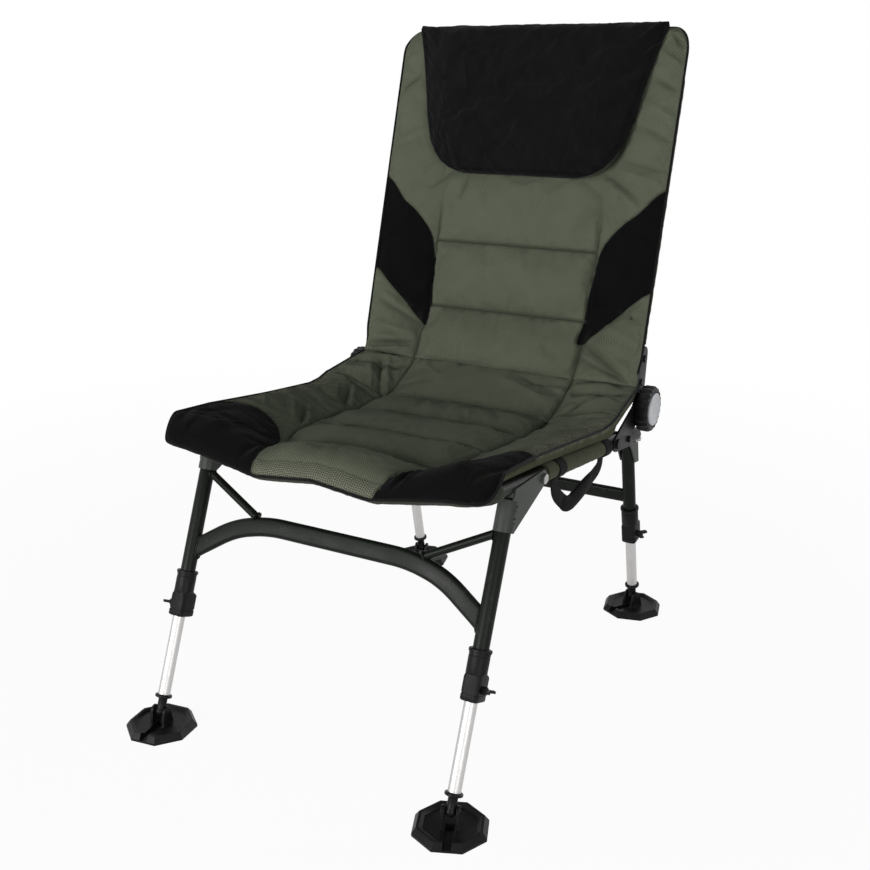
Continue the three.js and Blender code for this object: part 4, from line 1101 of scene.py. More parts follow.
def make_corner_cushion():
    """The wedge between the seat and the back."""
    chair = settings()
    length = CORNER_TOP_ALONG - SEAT_REAR
    climb = spaced(length, chair.grid, WEDGE_EDGE_BAND, EDGE_STEP) / length
    share, climb = np.meshgrid(grid_shares(SEAT_HALF, chair.grid), climb)
    half = wedge_half(climb)
    x = share * half
    along, edge, end_lift = wedge_edge(x, climb)
    rows = climb * length
    out = between(np.abs(x), SEAT_PANEL, half)
    base = SEAM_LIFTS[4] + (end_lift - SEAM_LIFTS[4]) * climb ** 1.2
    inner = 1 - np.minimum(np.abs(x) / SEAT_PANEL, 1) ** 5
    swell = np.sin(math.pi * climb)
    off_crease = np.abs(np.abs(x) - SEAT_PANEL)

    lift = base + (edge - base) * eased(out) + 6 * swell * inner + 8 * swell * np.sin(math.pi * out)
    lift -= 1.3 * chair.seam_depth * groove(off_crease, 5) * swell ** 0.5
    lift += 1.3 * pucker(x, along, (SEAT_REAR, WEDGE_REAR_SEAM), reach=12, seed=31)
    lift += chair.fold_height * folds(x, along, CORNER_FOLDS)
    lift += 1.4 * lumps(x, along, size=26, seed=8)
    ends = np.minimum(rows, length - rows)
    side = half - np.abs(x)
    end_rim = np.where(climb < 0.5, lift - WEDGE_END_DROP, end_lift)
    lift = end_rim + (lift - end_rim) * round_rim(ends, WEDGE_END_ROUND)
    rim_lift = np.where(side < WEDGE_RIM_BAND, edge, lift)
    upper = rim_lift + (lift - rim_lift) * round_rim(side, WEDGE_SIDE_ROUND)
    rim = np.minimum(side, ends)
    under = np.maximum(PAD_SEAT, lift - CORNER_THICK)
    under = rim_lift + (under - rim_lift) * round_rim(rim, WEDGE_END_ROUND)
    under = np.minimum(under, upper - LEAST_THICK)

    # Painted shade in the side creases, in the folds' bottoms and at the end where the wedge meets the
    # back
    seam_and_crease_shade = most(
        groove(off_crease, CREASE_SHADE_WIDTH), crease_shade(x, along, CORNER_FOLDS),
        0.8 * groove(length - rows, 4.0),
    )
    unmarked = np.full_like(x, NO_MARK)
    cushion = closed_quilt(
        "corner_cushion", seat_at(x, along, upper), seat_at(x, along, under),
        {"patch": unmarked, "net": unmarked, "seam_and_crease_shade": seam_and_crease_shade},
    )
    settled(cushion, free_top(may_move(rim, seam_and_crease_shade)), CUSHION_MOVE)
    cushion.data.materials.append(materials()["green_twill"])
    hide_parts("corner_pad")
    bend_with_back(cushion)


def bend_with_back(piece):
    """Bakes a piece between the seat and the back into its place."""
    start = Vector(seat_at(0, SEAT_REAR + 4, 24)) * MM
    end = Vector(seat_at(0, CORNER_TOP_ALONG, 88)) * MM
    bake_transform(piece)


# The shapes of the back


BACK_FOLDS = (
    ((-150, 86), (-240, 124), 7, -6.5), ((-154, 70), (-244, 84), 8, 6.0),
    ((-156, 58), (-246, 50), 7, -7.0), ((-160, 46), (-240, 36), 7, 5.5),
    ((-176, 100), (-244, 156), 9, 4.0), ((-150, 36), (-164, 112), 8, -5.0),
    ((-190, 64), (-236, 66), 6, -4.0), ((-172, 118), (-232, 142), 6, -3.4),
    ((150, 94), (244, 34), 7, -7.0), ((158, 104), (248, 52), 8, 6.0), ((152, 64), (238, 38), 7, -6.0),
    ((154, 76), (220, 40), 8, 5.0), ((178, 110), (246, 166), 8, -3.6), ((152, 40), (158, 112), 8, -4.0),
    ((196, 120), (250, 100), 7, 3.6), ((206, 150), (252, 128), 7, -3.2), ((180, 96), (250, 86), 7, 3.2),
    ((-120, 356), (-150, 306), 10, 4.0), ((-96, 356), (-108, 312), 8, -3.4),
    ((-60, 352), (-66, 290), 11, 2.8), ((-134, 360), (-172, 330), 7, -3.4),
    ((-150, 380), (-196, 352), 8, 3.0), ((150, 366), (214, 326), 6, -5.0),
    ((140, 360), (222, 312), 9, 4.0), ((170, 376), (250, 352), 7, 4.0),
    ((180, 388), (250, 372), 6, -3.6), ((120, 352), (160, 320), 8, -2.8),
    ((40, 352), (50, 300), 12, 2.2), ((206, 440), (252, 420), 7, -3.4),
    ((-200, 430), (-248, 404), 8, 3.0), ((208, 480), (252, 458), 8, 3.6),
    ((210, 520), (252, 500), 7, -4.0), ((-216, 522), (-250, 500), 7, -4.6),
    ((218, 560), (252, 540), 6, 4.6), ((-222, 560), (-250, 546), 6, 3.6),
    ((-226, 584), (-240, 560), 6, 3.6), ((228, 592), (252, 566), 6, -4.6),
    ((222, 596), (244, 586), 5, 4.0), ((150, 212), (168, 150), 8, -2.4),
    ((-80, 226), (-20, 140), 20, 1.8), ((40, 330), (100, 250), 24, -1.8),
    ((90, 120), (130, 60), 18, 2.2),
)


def back_half(up):
    """Half the back's width, round at its upper corners."""
    near = np.clip(BACK_CORNER - (BACK_TO - up), 0, BACK_CORNER)
    return BACK_HALF - 0.7 * (BACK_CORNER - np.sqrt(BACK_CORNER ** 2 - near ** 2))


def back_rim_out(x, up):
    """How far forward the back's bound edge lies."""
    edge = BACK_TUBE_OUT + SLEEVE_RADIUS + 3.0
    out = between(np.abs(x), SEAT_PANEL, BACK_HALF)
    foot = (BACK_OUT[0] - 1) * (1 - eased(out)) + edge * eased(out)
    low = 1 - between(up, BACK_FROM, BACK_FROM + BACK_FOOT_BAND)
    high = between(up, BACK_TO - BACK_TOP_BAND, BACK_TO)
    return (edge + (foot - edge) * low) * (1 - high) + (BACK_TUBE_OUT + 6) * high


def make_back_cushion():
    """The quilted back with its side rolls, channels, folds and black patches."""
    chair = settings()
    up = BACK_FROM + spaced(BACK_TO - BACK_FROM, chair.grid, EDGE_BAND, EDGE_STEP)
    share, up = np.meshgrid(grid_shares(BACK_HALF, chair.grid), up)
    half = back_half(up)
    x = share * half
    patch = inside_by(np.abs(x), up, smooth_outline(BACK_PATCH))
    base = np.interp(up, BACK_SEAMS, BACK_OUT)
    base += 10 * eased(between(up, BACK_SEAMS[4], 575))
    edge = np.maximum(BACK_EDGE, base - 3.6)
    out = between(np.abs(x), SEAT_PANEL, half)
    inner = 1 - np.minimum(np.abs(x) / SEAT_PANEL, 1) ** 6
    off_crease = np.abs(np.abs(x) - SEAT_PANEL)
    below = 1 - eased(between(up, BACK_CREASE_FULL, BACK_CREASE_TO))
    panel = np.abs(x) < SEAT_PANEL
    swell = swell_between(BACK_SEAMS[:4] + (BACK_TO,), up)
    cross_seams = BACK_SEAMS[1:3]

    face = base + (edge - base) * eased(out) + BACK_CROWN * swell * inner
    face += ROLL_CROWN * np.sin(math.pi * out)
    face -= chair.seam_depth * groove(off_crease, CREASE_WIDTH) * below
    face -= 0.6 * chair.seam_depth * on_lines(up, cross_seams, SEAM_WIDTH) * panel
    face += 1.3 * pucker(x, up, BACK_SEAMS[:3], reach=13, seed=40) * panel
    face += gathers(off_crease, up, height=1.5, reach=14, seed=51) * below
    face += chair.fold_height * folds(x, up, BACK_FOLDS)
    face += 1.8 * lumps(x, up, size=52, seed=55) + 0.9 * lumps(x, up, size=19, seed=56)
    face -= patch_step(patch, depth=1.8, width=2.4)
    rest_half = np.interp(up, REST_UP, REST_HALF, left=0)
    covered = (rest_half - np.abs(x) > REST_LAP) & (up > REST_UP[0] + REST_LAP)
    face -= COVERED_DROP * covered
    side, low, high = half - np.abs(x), up - BACK_FROM, BACK_TO - up
    rim_out = back_rim_out(x, up)
    inward = least(round_rim(side, 11), round_rim(low, 9), round_rim(high, 20))
    upper = rim_out + (face - rim_out) * inward
    upper += 1.0 * groove(np.minimum(side, high) - 9, 4) * lumps(x, up, size=12, seed=57)

    over_tube = BACK_TUBE_OUT + SLEEVE_RADIUS + 0.5
    under = np.where(np.abs(x) > BACK_TUBE_X - BACK_TUBE_BAND, over_tube, BACK_WEB + WEB_CLEAR)
    under = np.where(up > BACK_BAR_UP - BACK_TUBE_BAND, over_tube, under)
    inward = least(round_rim(side, 8), round_rim(low, 9), round_rim(high, 12))
    under = np.minimum(rim_out + (under - rim_out) * inward, upper - LEAST_THICK)

    # Painted shade along the seams across the panel, round the patches, in the side creases and in the
    # folds' bottoms
    seam_and_crease_shade = most(
        on_lines(up, cross_seams, 2.2) * panel, patch_seam_shade(patch),
        groove(off_crease, CREASE_SHADE_WIDTH) * below * (patch < 0), crease_shade(x, up, BACK_FOLDS),
    )
    cushion = closed_quilt(
        "back_cushion", back_at(x, up, upper), back_at(x, up, under),
        {"patch": patch, "net": np.full_like(x, NO_MARK), "seam_and_crease_shade": seam_and_crease_shade},
    )
    free = may_move(least(side, low, high), seam_and_crease_shade) & ~covered
    settled(cushion, free_top(free), CUSHION_MOVE)
    dressed(cushion, "back", "green_cloth", materials()["green_twill"], "back_pad")


REST_FOLDS = (
    ((192, 556), (226, 592), 5, -6.5), ((184, 574), (220, 604), 5, 5.5),
    ((204, 560), (228, 574), 4, 4.0), ((164, 524), (212, 538), 6, -5.0),
    ((158, 502), (208, 514), 6, 4.6), ((150, 474), (202, 480), 6, -5.0),
    ((140, 452), (196, 452), 7, 4.6), ((128, 424), (188, 424), 6, -5.0),
    ((118, 402), (176, 396), 7, 4.6), ((104, 384), (156, 374), 6, -4.0),
    ((170, 440), (200, 466), 5, 3.6), ((176, 486), (210, 500), 5, -3.4),
    ((-150, 430), (-184, 440), 7, 3.0), ((-140, 398), (-168, 390), 6, -3.4),
    ((-200, 560), (-220, 596), 6, -4.4), ((-180, 520), (-208, 530), 8, 3.0),
    ((-60, 362), (-64, 400), 9, -2.4), ((20, 360), (24, 402), 10, 2.2), ((80, 362), (92, 410), 9, -2.6),
    ((-120, 560), (-100, 480), 22, 2.4), ((60, 590), (90, 500), 24, -2.4),
    ((0, 450), (90, 420), 26, 2.4), ((-40, 596), (-20, 560), 14, 2.0),
    ((120, 598), (132, 556), 10, 2.4), ((-110, 366), (-124, 398), 7, 2.6),
)


def make_headrest():
    """The crowned black pillow at the top of the back."""
    chair = settings()
    low, top = REST_UP[0], REST_UP[-1]
    up = low + spaced(top - low, chair.grid, EDGE_BAND, EDGE_STEP)
    share, up = np.meshgrid(grid_shares(REST_WIDE, chair.grid), up)
    half = np.interp(up, REST_UP, REST_HALF)
    x = share * half
    side = half - np.abs(x)
    edge = np.minimum(side, up - low)
    high = between(up, low, top)
    dome = np.maximum(0, np.sin(math.pi * np.clip(high * 0.8 + 0.02, 0, 1))) ** 0.4
    puff = np.maximum(0, 1 - np.abs(share) ** 5) ** 0.6

    face = REST_MID + REST_CROWN * dome * puff
    face += (
        chair.fold_height * folds(x, up, REST_FOLDS)
        + 2.0 * lumps(x, up, size=44, seed=71) + 0.9 * lumps(x, up, size=15, seed=72)
    )
    face += gathers(edge, up + x, height=2.0, reach=14, seed=73)
    inward = least(round_rim(side, 22), round_rim(up - low, 26), round_rim(top - up, 16))
    upper = REST_MID + (face - REST_MID) * inward
    back = REST_BASE - 6 * between(up, BACK_TO - 34, top)
    inward = least(round_rim(side, 12), round_rim(up - low, 12), round_rim(top - up, 10))
    under = np.minimum(REST_MID + (back - REST_MID) * inward, upper - LEAST_THICK)
    # Painted shade along a line 7 mm inside the pillow's rim
    pillow = closed_quilt(
        "headrest_pillow", back_at(x, up, upper), back_at(x, up, under),
        {"seam_and_crease_shade": 0.6 * groove(edge - 7, 1.2)},
    )
    settled(pillow, free_top(edge > PINNED_PILLOW_RIM), PILLOW_MOVE)
    dressed(pillow, "back", "black_cloth", materials()["headrest_cloth"], "headrest")


# Covers, sleeves and piping


# The seat's stretched cloth: where it starts behind the bow, its length and its half widths
WEB_START = 12.5
WEB_LENGTH = 470
WEB_AT = (-290, -262, -240)
WEB_HALF = (213, 220, 233)
WEB_REAR_FROM = 110
WEB_REAR_HALF = 229.5
SHEET_THICK = 1.6
HEM_WRINKLE = 0.8
HEM_STEP = 5.0
RAIL_HEM = (-112.5, 116.5)
BACK_HEM_FROM = 101.0
BACK_WEB_FROM = 44.0
BACK_WEB_HALF = 235.0
BACK_WEB_CORNER = 34.0


def thin_sheet(name, x, a, place):
    """Cloth of a real thickness over a grid of places."""
    upper = place(x, a, SHEET_THICK / 2)
    lower = place(x, a, -SHEET_THICK / 2)
    return closed_quilt(name, upper, lower, {"seam_and_crease_shade": np.zeros_like(x)})


def web_shares():
    """Places across a stretched cloth from -1 to 1."""
    return spaced(2.0, 0.04, 0.05, 0.02) - 1


def bow_path(steps=10):
    """The middle line of the bent front tube, as places on the seat."""
    corners = [(RAIL_X, BOW_FROM, 0), (RAIL_X, BOW_ALONG, 0)]
    corners += [(BOW_X[i], BOW_ALONG, -BOW_DROP[i]) for i in (2, 1, 0)]
    left = [(-x, y, z) for x, y, z in corners]
    full = left + [c for c in reversed(corners[:-1])]
    bends = [0, BOW_CORNER] + [BOW_WAVE] * (len(full) - 4) + [BOW_CORNER, 0]
    points = [Vector(full[0])]
    for i in range(1, len(full) - 1):
        before, here, after = Vector(full[i - 1]), Vector(full[i]), Vector(full[i + 1])
        into, out = (here - before).normalized(), (after - here).normalized()
        turn = into.angle(out)
        if turn < 0.002:
            points.append(here)
            continue
        setback = bends[i] * math.tan(turn / 2)
        start = here - into * setback
        axis = into.cross(out).normalized()
        centre = start + axis.cross(into) * bends[i]
        for step in range(steps + 1):
            points.append(centre + Quaternion(axis, turn * step / steps) @ (start - centre))
    points.append(Vector(full[-1]))
    return [Vector(seat_at(*p)) for p in points]


def resampled(path, step):
    """Points at even steps on a path."""
    points = np.array([tuple(p) for p in path])
    runs = np.concatenate([[0], np.cumsum(np.linalg.norm(np.diff(points, axis=0), axis=1))])
    count = max(2, int(runs[-1] / step) + 1)
    places = np.linspace(0, runs[-1], count)
    return [Vector(p) for p in zip(*(np.interp(places, runs, points[:, k]) for k in range(3)))]


def cloth_sleeve(name, path, radius, seed):
    """Cloth sewn round a tube, with small wrinkles across it."""
    sides = 28
    path = resampled(path, HEM_STEP)
    table = np.random.default_rng(seed).uniform(-1, 1, (len(path), sides))
    table = (table + np.roll(table, 1, 0) + np.roll(table, 1, 1) + np.roll(table, -1, 1)) / 4

    def section(i):
        radii = radius + HEM_WRINKLE * (0.5 + table[i])
        angles = [2 * math.pi * k / sides for k in range(sides)]
        return [(r * math.cos(a), r * math.sin(a)) for r, a in zip(radii, angles)]

    sleeve = swept(name, path, section)
    store_flat(sleeve)
    return sleeve


def make_covers():
    """The stretched cloth under the cushions and its sleeves round the tubes."""
    olive = materials()["olive_cloth"]
    along = BOW_ALONG + WEB_START + spaced(WEB_LENGTH, 8.0, 10, 4.0)
    share, along = np.meshgrid(web_shares(), along)
    x = share * np.interp(along, WEB_AT, WEB_HALF)
    x = np.where(along > WEB_REAR_FROM, share * WEB_REAR_HALF, x)

    def on_web(across, places, off):
        sag = seat_web_lift(across, places) + 0.8 * lumps(across, places, size=38, seed=90)
        return seat_at(across, places, sag + off)

    web = thin_sheet("seat_web", x, along, on_web)
    dressed(web, "seat_frame", "green_cloth", olive, "seat_sling")
    hem = cloth_sleeve("front_hem", bow_path(), SLEEVE_RADIUS - 0.4, seed=91)
    # The hem's cloth is dark green-black with painted shade in its colour
    dressed(hem, "seat_frame", "green_cloth", materials()["dark_hem"])
    for name, side in SIDES:
        ends = [Vector(seat_at(side * RAIL_X, a, 0)) for a in RAIL_HEM]
        sleeve = cloth_sleeve(f"rail_sleeve_{name}", ends, SLEEVE_RADIUS - 0.6, seed=92 + side)
        dressed(sleeve, "seat_frame", "green_cloth", olive)
    make_back_cover()


def back_frame_path(start, steps=10):
    """The middle line of the back's bent tube, from a height on one side to the same on the other."""
    points = [back_at(-BACK_TUBE_X, start, BACK_TUBE_OUT)]
    angles = np.linspace(0, math.pi / 2, steps)
    for sign, order in ((-1, angles), (1, angles[::-1])):
        for angle in order:
            across = sign * (BACK_TUBE_X - BACK_BEND + BACK_BEND * math.cos(angle))
            up = BACK_BAR_UP - BACK_BEND + BACK_BEND * math.sin(angle)
            points.append(back_at(across, up, BACK_TUBE_OUT))
    points.append(back_at(BACK_TUBE_X, start, BACK_TUBE_OUT))
    return [Vector(p) for p in points]


def make_back_cover():
    """The stretched cloth behind the back cushion and its sleeve round the back's tube."""
    olive = materials()["olive_cloth"]
    high = BACK_BAR_UP - 8
    up = BACK_WEB_FROM + spaced(high - BACK_WEB_FROM, 9.0, 10, 4.0)
    share, up = np.meshgrid(web_shares(), up)
    near = np.clip(BACK_WEB_CORNER - (high - up), 0, BACK_WEB_CORNER)
    x = share * (BACK_WEB_HALF - (BACK_WEB_CORNER - np.sqrt(BACK_WEB_CORNER ** 2 - near ** 2)))

    def on_web(across, places, off):
        ripple = 1.2 * lumps(across, places, size=60, seed=95)
        ripple += 0.6 * lumps(across, places, size=22, seed=96)
        return back_at(across, places, BACK_WEB - 0.4 + 0.5 * ripple + off)

    web = thin_sheet("back_web", x, up, on_web)
    dressed(web, "back", "green_cloth", olive, "back_sling")
    hem = cloth_sleeve("back_hem", back_frame_path(BACK_HEM_FROM), SLEEVE_RADIUS - 0.6, seed=97)
    dressed(hem, "back", "green_cloth", olive)


def edge_places(start, far, corner, count):
    """Places along a straight edge, and closer ones round the corner at its far end."""
    toward = math.copysign(corner, far - start)
    bend = far - toward * (1 - np.sin(np.linspace(0, math.pi / 2, 16)))
    return np.concatenate([np.linspace(start, far - toward, count), bend[1:]])


def round_the_end(places, half, count):
    """Across and along for an edge up one side, over the far end and down the other side."""
    over = np.linspace(half[-1], -half[-1], count)[1:-1]
    across = np.concatenate([half, over, -half[::-1]])
    return across, np.concatenate([places, np.full_like(over, places[-1]), places[::-1]])


def piping_run(name, path):
    piping = swept(name, path, circle(PIPING_RADIUS, 10))
    store_flat(piping)
    return piping


def make_corner_piping():
    """The bound edges of the wedge."""
    climb = np.linspace(0, 0.97, 40)
    runs = []
    for name, side in SIDES:
        x = side * wedge_half(climb)
        along, edge, _ = wedge_edge(x, climb)
        run = [Vector(p) for p in seat_at(x * PIPING_OUT, along, edge)]
        runs.append(swept(f"corner_run_{name}", run, circle(PIPING_RADIUS, 10)))
    piping = joined("corner_piping", runs)
    store_flat(piping)
    piping.data.materials.append(materials()["piping_cloth"])
    bend_with_back(piping)


def make_piping():
    """Bound edges of the cushions."""
    cloth = materials()["piping_cloth"]
    along = edge_places(SEAT_REAR + 1.5, SEAT_FRONT, SEAT_CORNER, 90)
    x, along = round_the_end(along, seat_half(along), 100)
    edge = seat_at(x * PIPING_OUT, along - 1.0 * (along <= SEAT_FRONT), seat_rim_lift(x, along))
    dressed(piping_run("seat_piping", resampled(edge, 4)), "seat_frame", "black_cloth", cloth)
    make_corner_piping()
    up = edge_places(BACK_FROM + 2, BACK_TO, BACK_CORNER, 110)
    foot = 1 - eased(between(up, BACK_FROM + 12, BACK_FROM + 50))
    x, up = round_the_end(up, back_half(up) - PIPING_CLEAR * foot, 80)
    edge = back_at(x * PIPING_OUT, up, back_rim_out(x, up))
    dressed(piping_run("back_piping", resampled(edge, 4)), "back", "black_cloth", cloth)


# The carry strap under the right rail


# The strap's route as (along, lift) on the seat, with its loops round the rail at both ends
STRAP_ROUTE = ((-66, -12), (-62, -36), (-8, -68), (70, -44), (110, -30), (110, -12))
STRAP_BEND = 20.0
STRAP_HALF = 11.5
STRAP_HALF_THICK = 1.3
GRIP_TALLER = 0.8
GRIP_THICKER = 6.2
GRIP_FROM = 0.28
GRIP_SHARE = 0.5
LOOP_OUTSIDE = 14.6
LOOP_INSIDE = 13.2
LOOP_HALF = 12.0


def strap_path():
    """The strap's middle line, rounded at its corners."""
    corners = [Vector((0, a, b)) for a, b in STRAP_ROUTE]
    path = [corners[0]]
    for here, last, following in zip(corners[1:], corners, corners[2:]):
        before = here.lerp(last, min(0.45, STRAP_BEND / (here - last).length))
        after = here.lerp(following, min(0.45, STRAP_BEND / (here - following).length))
        for t in np.linspace(0, 1, 7):
            path.append(before.lerp(here, t).lerp(here.lerp(after, t), t))
    path.append(corners[-1])
    return [Vector(seat_at(RAIL_X, p.y, p.z)) for p in resampled(path, 4)]


def strap_loop(along):
    """Webbing sewn round the rail."""
    def edge(radius, angle, width):
        across, lift = radius * math.cos(angle), radius * math.sin(angle)
        return Vector(seat_at(RAIL_X + across, along + width, lift))

    points = []
    for angle in round_angles(32):
        points += [edge(LOOP_OUTSIDE, angle, w) for w in (-LOOP_HALF, LOOP_HALF)]
        points += [edge(LOOP_INSIDE, angle, w) for w in (LOOP_HALF, -LOOP_HALF)]
    return outward(new_piece(f"loop_{along}", points, grid_faces(32, 4, closed=True)))


def make_strap():
    """The carry strap with its padded grip and its loops."""
    points = strap_path()

    def section(i):
        share = i / (len(points) - 1)
        along_grip = min(max((share - GRIP_FROM) / GRIP_SHARE, 0), 1)
        grip = max(0.0, math.sin(math.pi * along_grip)) ** 0.5
        tall, thick = STRAP_HALF + GRIP_TALLER * grip, STRAP_HALF_THICK + GRIP_THICKER * grip
        return [(thick * math.cos(a), tall * math.sin(a)) for a in round_angles(24)]

    strap = swept("strap_grip", points, section)
    loops = [strap_loop(STRAP_ROUTE[i][0]) for i in (0, -1)]
    strap = joined("strap_and_loops", [strap, *loops])
    strap.data.polygons.foreach_set("use_smooth", [True] * len(strap.data.polygons))
    sharpened(strap)
    dressed(strap, "seat_frame", "webbing", materials()["woven_webbing"], "carry_strap")


# Steel and plastic


FOOT_EDGE = 0.7
STEEL_EDGE = 0.45
CARRIED = {
    "green_black_paint": (
        "seat_rail", "seat_front_bow", "seat_rear_bar", "back_frame", "rear_crossbar",
    ),
    "grey_green_paint": ("rear_bracket", "front_gusset"),
    "black_paint": ("hinge_plate", "back_arm"),
    "zinc_plate": ("recline_bolt", "rear_pivot_bolt", "front_pivot_bolt"),
    "moulded_plastic": ("front_wing_screw", "rear_wing_screw"),
    "foot_plastic": ("front_foot", "rear_foot"),
}


def paint_carried_nodes():
    """Steel and plastic pieces whose shape comes from the frame get rounded edges and their finish."""
    made = materials()
    finish_of = {stem: finish for finish, stems in CARRIED.items() for stem in stems}
    for name, piece in frame["nodes"].items():
        if piece.hide_render:
            continue
        stem = name.removesuffix("_left").removesuffix("_right")
        if stem not in finish_of:
            raise RuntimeError(f"{name} has no finish")
        piece.data.materials.clear()
        piece.data.materials.append(made[finish_of[stem]])
        softened(piece, FOOT_EDGE if "foot" in stem else STEEL_EDGE)


# The arch: its top's height up the front legs, and its drops below that by half width
ARCH_TOP = 304.0
ARCH_X = (0.0, 118.0, 176.0, RAIL_X)
ARCH_DROP = (0.0, 0.0, 14.0, 60.8)
ARCH_THICK = 12.0
ARCH_TALL = 28.0
ARCH_SOFT = 24.0
ARCH_END = 10.5
LEG_WALL = 9.9
STRUT_X = 138.0
STRUT_RISE = 12.0
STRUT_TOP = 363.0
STRUT_RADIUS = 6.0
# Welds: thickness of their beads, radii of the rings round the struts and spread of the arch's
ARCH_WELD = 1.7
STRUT_WELD = 1.5
STRUT_TOP_RING = 7.4
STRUT_FOOT_RING = 7.2
ARCH_WELD_SPREAD = 1.03
ARCH_WELD_IN = 1.3


def arch_place(line, x, height):
    """A place between the front legs, x from the middle and height up the legs."""
    return Vector((line.pin.x + RAIL_X + x, line.pin.y, line.pin.z)) + line.up * height


def arch_height(x):
    return -np.interp(np.abs(x), ARCH_X, ARCH_DROP)


def arch_loops(line):
    """The flat bar's sections from leg to leg, cut flat at the legs' walls."""
    xs = np.linspace(-(RAIL_X - ARCH_END), RAIL_X - ARCH_END, 121)
    near = np.linspace(-ARCH_SOFT, ARCH_SOFT, 17)
    soft = np.array([np.mean(arch_height(np.clip(x + near, -RAIL_X, RAIL_X))) for x in xs])
    ends = between(np.abs(xs), RAIL_X - 30, RAIL_X - 12)
    heights = ARCH_TOP + soft * (1 - ends) + arch_height(xs) * ends
    path = [arch_place(line, x, h) for x, h in zip(xs, heights)]
    section = oval(ARCH_THICK, ARCH_TALL)
    loops = []
    for i, point in enumerate(path):
        ahead = (path[min(i + 1, len(path) - 1)] - path[max(i - 1, 0)]).normalized()
        tall = line.square.cross(ahead).normalized()
        loop = [point + line.square * a + tall * b for a, b in section]
        wall = math.copysign(RAIL_X - LEG_WALL, point.x)
        is_end = i in (0, len(path) - 1)
        past = [is_end or abs(p.x) > abs(wall) for p in loop]
        loops.append([p + ahead * ((wall - p.x) / ahead.x) if cut else p for p, cut in zip(loop, past)])
    return loops


def make_arch():
    """The flat bar across the front legs, its struts and their welds."""
    line = LegLine("front", "left")

    def painted(piece, *nodes):
        dressed(piece, "front_legs", "painted_steel", materials()["green_black_paint"], *nodes)

    loops = arch_loops(line)
    painted(sharpened(rings("arch_bar", loops)), "front_arch")
    for name, side in SIDES:
        foot_height = ARCH_TOP + float(arch_height(STRUT_X))
        low = arch_place(line, side * STRUT_X, foot_height) + line.up * STRUT_RISE
        ahead = (arch_place(line, side * (RAIL_X - 8), STRUT_TOP) - low).normalized()
        wall = side * (RAIL_X - LEG_WALL)
        strut = bar_to_wall(f"strut_{name}", low + ahead * 2, ahead, STRUT_RADIUS, wall)
        painted(strut, f"arch_strut_{name}")
        top = arch_place(line, side * (RAIL_X - 11.3), STRUT_TOP - 2)
        painted(weld_bead(f"weld_strut_top_{name}", top, Vector((side, 0, 0)), STRUT_TOP_RING))
        foot = low + ahead * 4
        painted(weld_bead(f"weld_strut_foot_{name}", foot, ahead, STRUT_FOOT_RING))
        end_loop = loops[0] if side < 0 else loops[-1]
        centre = sum(end_loop, Vector()) / len(end_loop)
        inward = Vector((side * ARCH_WELD_IN, 0, 0))
        ring = [centre + (p - centre) * ARCH_WELD_SPREAD - inward for p in end_loop]
        painted(bead_on(f"weld_arch_{name}", ring, ARCH_WELD))


def bar_to_wall(name, start, ahead, radius, wall):
    """A round bar whose far end is cut flat where it meets the wall of a leg."""
    first = ahead.orthogonal().normalized()
    second = ahead.cross(first)
    near = [start + (first * math.cos(a) + second * math.sin(a)) * radius for a in round_angles(28)]
    far = [p + ahead * ((wall - p.x) / ahead.x) for p in near]
    return sharpened(rings(name, [near, far]))


def bead_on(name, ring, radius):
    """A rippled weld along a closed ring of points."""
    path = resampled(ring + [ring[0]], 1.4)[:-1]
    centre = sum(path, Vector()) / len(path)
    loops = []
    for i, point in enumerate(path):
        ahead = (path[(i + 1) % len(path)] - path[i - 1]).normalized()
        out = (point - centre).normalized()
        side = ahead.cross(out).normalized()
        size = radius * (1 + 0.22 * math.sin(2.1 * i))
        loops.append([
            point + out * size * math.cos(a) + side * size * math.sin(a) for a in round_angles(8)
        ])
    return rings(name, loops, closed=True)


def weld_bead(name, place, axis, ring_radius):
    """A weld round a strut's end."""
    turn = Vector((0, 0, 1)).rotation_difference(Vector(axis).normalized())
    ring = [Vector(place) + turn @ Vector((a, b, 0)) for a, b in circle(ring_radius, 24)]
    return bead_on(name, ring, STRUT_WELD)


# Heights up the legs: the foot of each sleeve, and the top of each inner tube
SLEEVE_AT = {"front": 144.0, "rear": 120.0}
INNER_TOP = {"front": 300.0, "rear": 248.0}
INNER_FOOT = 25.3
SLEEVE_BLOCK = 34.6
SLEEVE_COLLAR = 34.0
BALL_RADIUS = 7.6
NECK_RADIUS = 6.6


def leg_top(line, node):
    """How high up the leg's line a tube ends."""
    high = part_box(node)[1] / MM
    return (high.z - line.pin.z) / line.up.z - TUBE * (abs(line.up.y) / line.up.z)


def make_legs():
    """The outer and inner leg tubes with their sleeves and plugs."""
    made = materials()
    for end in ENDS:
        for name, _ in SIDES:
            line = LegLine(end, name)
            top = leg_top(line, f"{end}_leg_{name}")
            bottom = SLEEVE_AT[end] + SLEEVE_BLOCK + GAP
            outer = [
                (TUBE, bottom), (TUBE, top - 1.2), (TUBE - 0.5, top - 0.3), (TUBE - 1.4, top), (4, top),
            ]
            tube = sharpened(turned(f"{end}_leg_tube_{name}", outer, line.pin, line.up, 48))
            paint = made["green_black_paint"]
            dressed(tube, f"{end}_legs", "painted_steel", paint, f"{end}_leg_{name}")
            inner = [
                (INNER_TUBE - 1.2, INNER_FOOT), (INNER_TUBE, INNER_FOOT + 0.5),
                (INNER_TUBE, INNER_TOP[end] - 0.4), (INNER_TUBE - 1.2, INNER_TOP[end]),
            ]
            rod = sharpened(turned(f"{end}_bright_tube_{name}", inner, line.pin, line.up, 40))
            body = f"{end}_{name}_inner"
            dressed(rod, body, "aluminium", made["drawn_aluminium"], f"{end}_inner_leg_{name}")
            make_sleeve(end, name, line, SLEEVE_AT[end])
            make_plug(end, name, line)


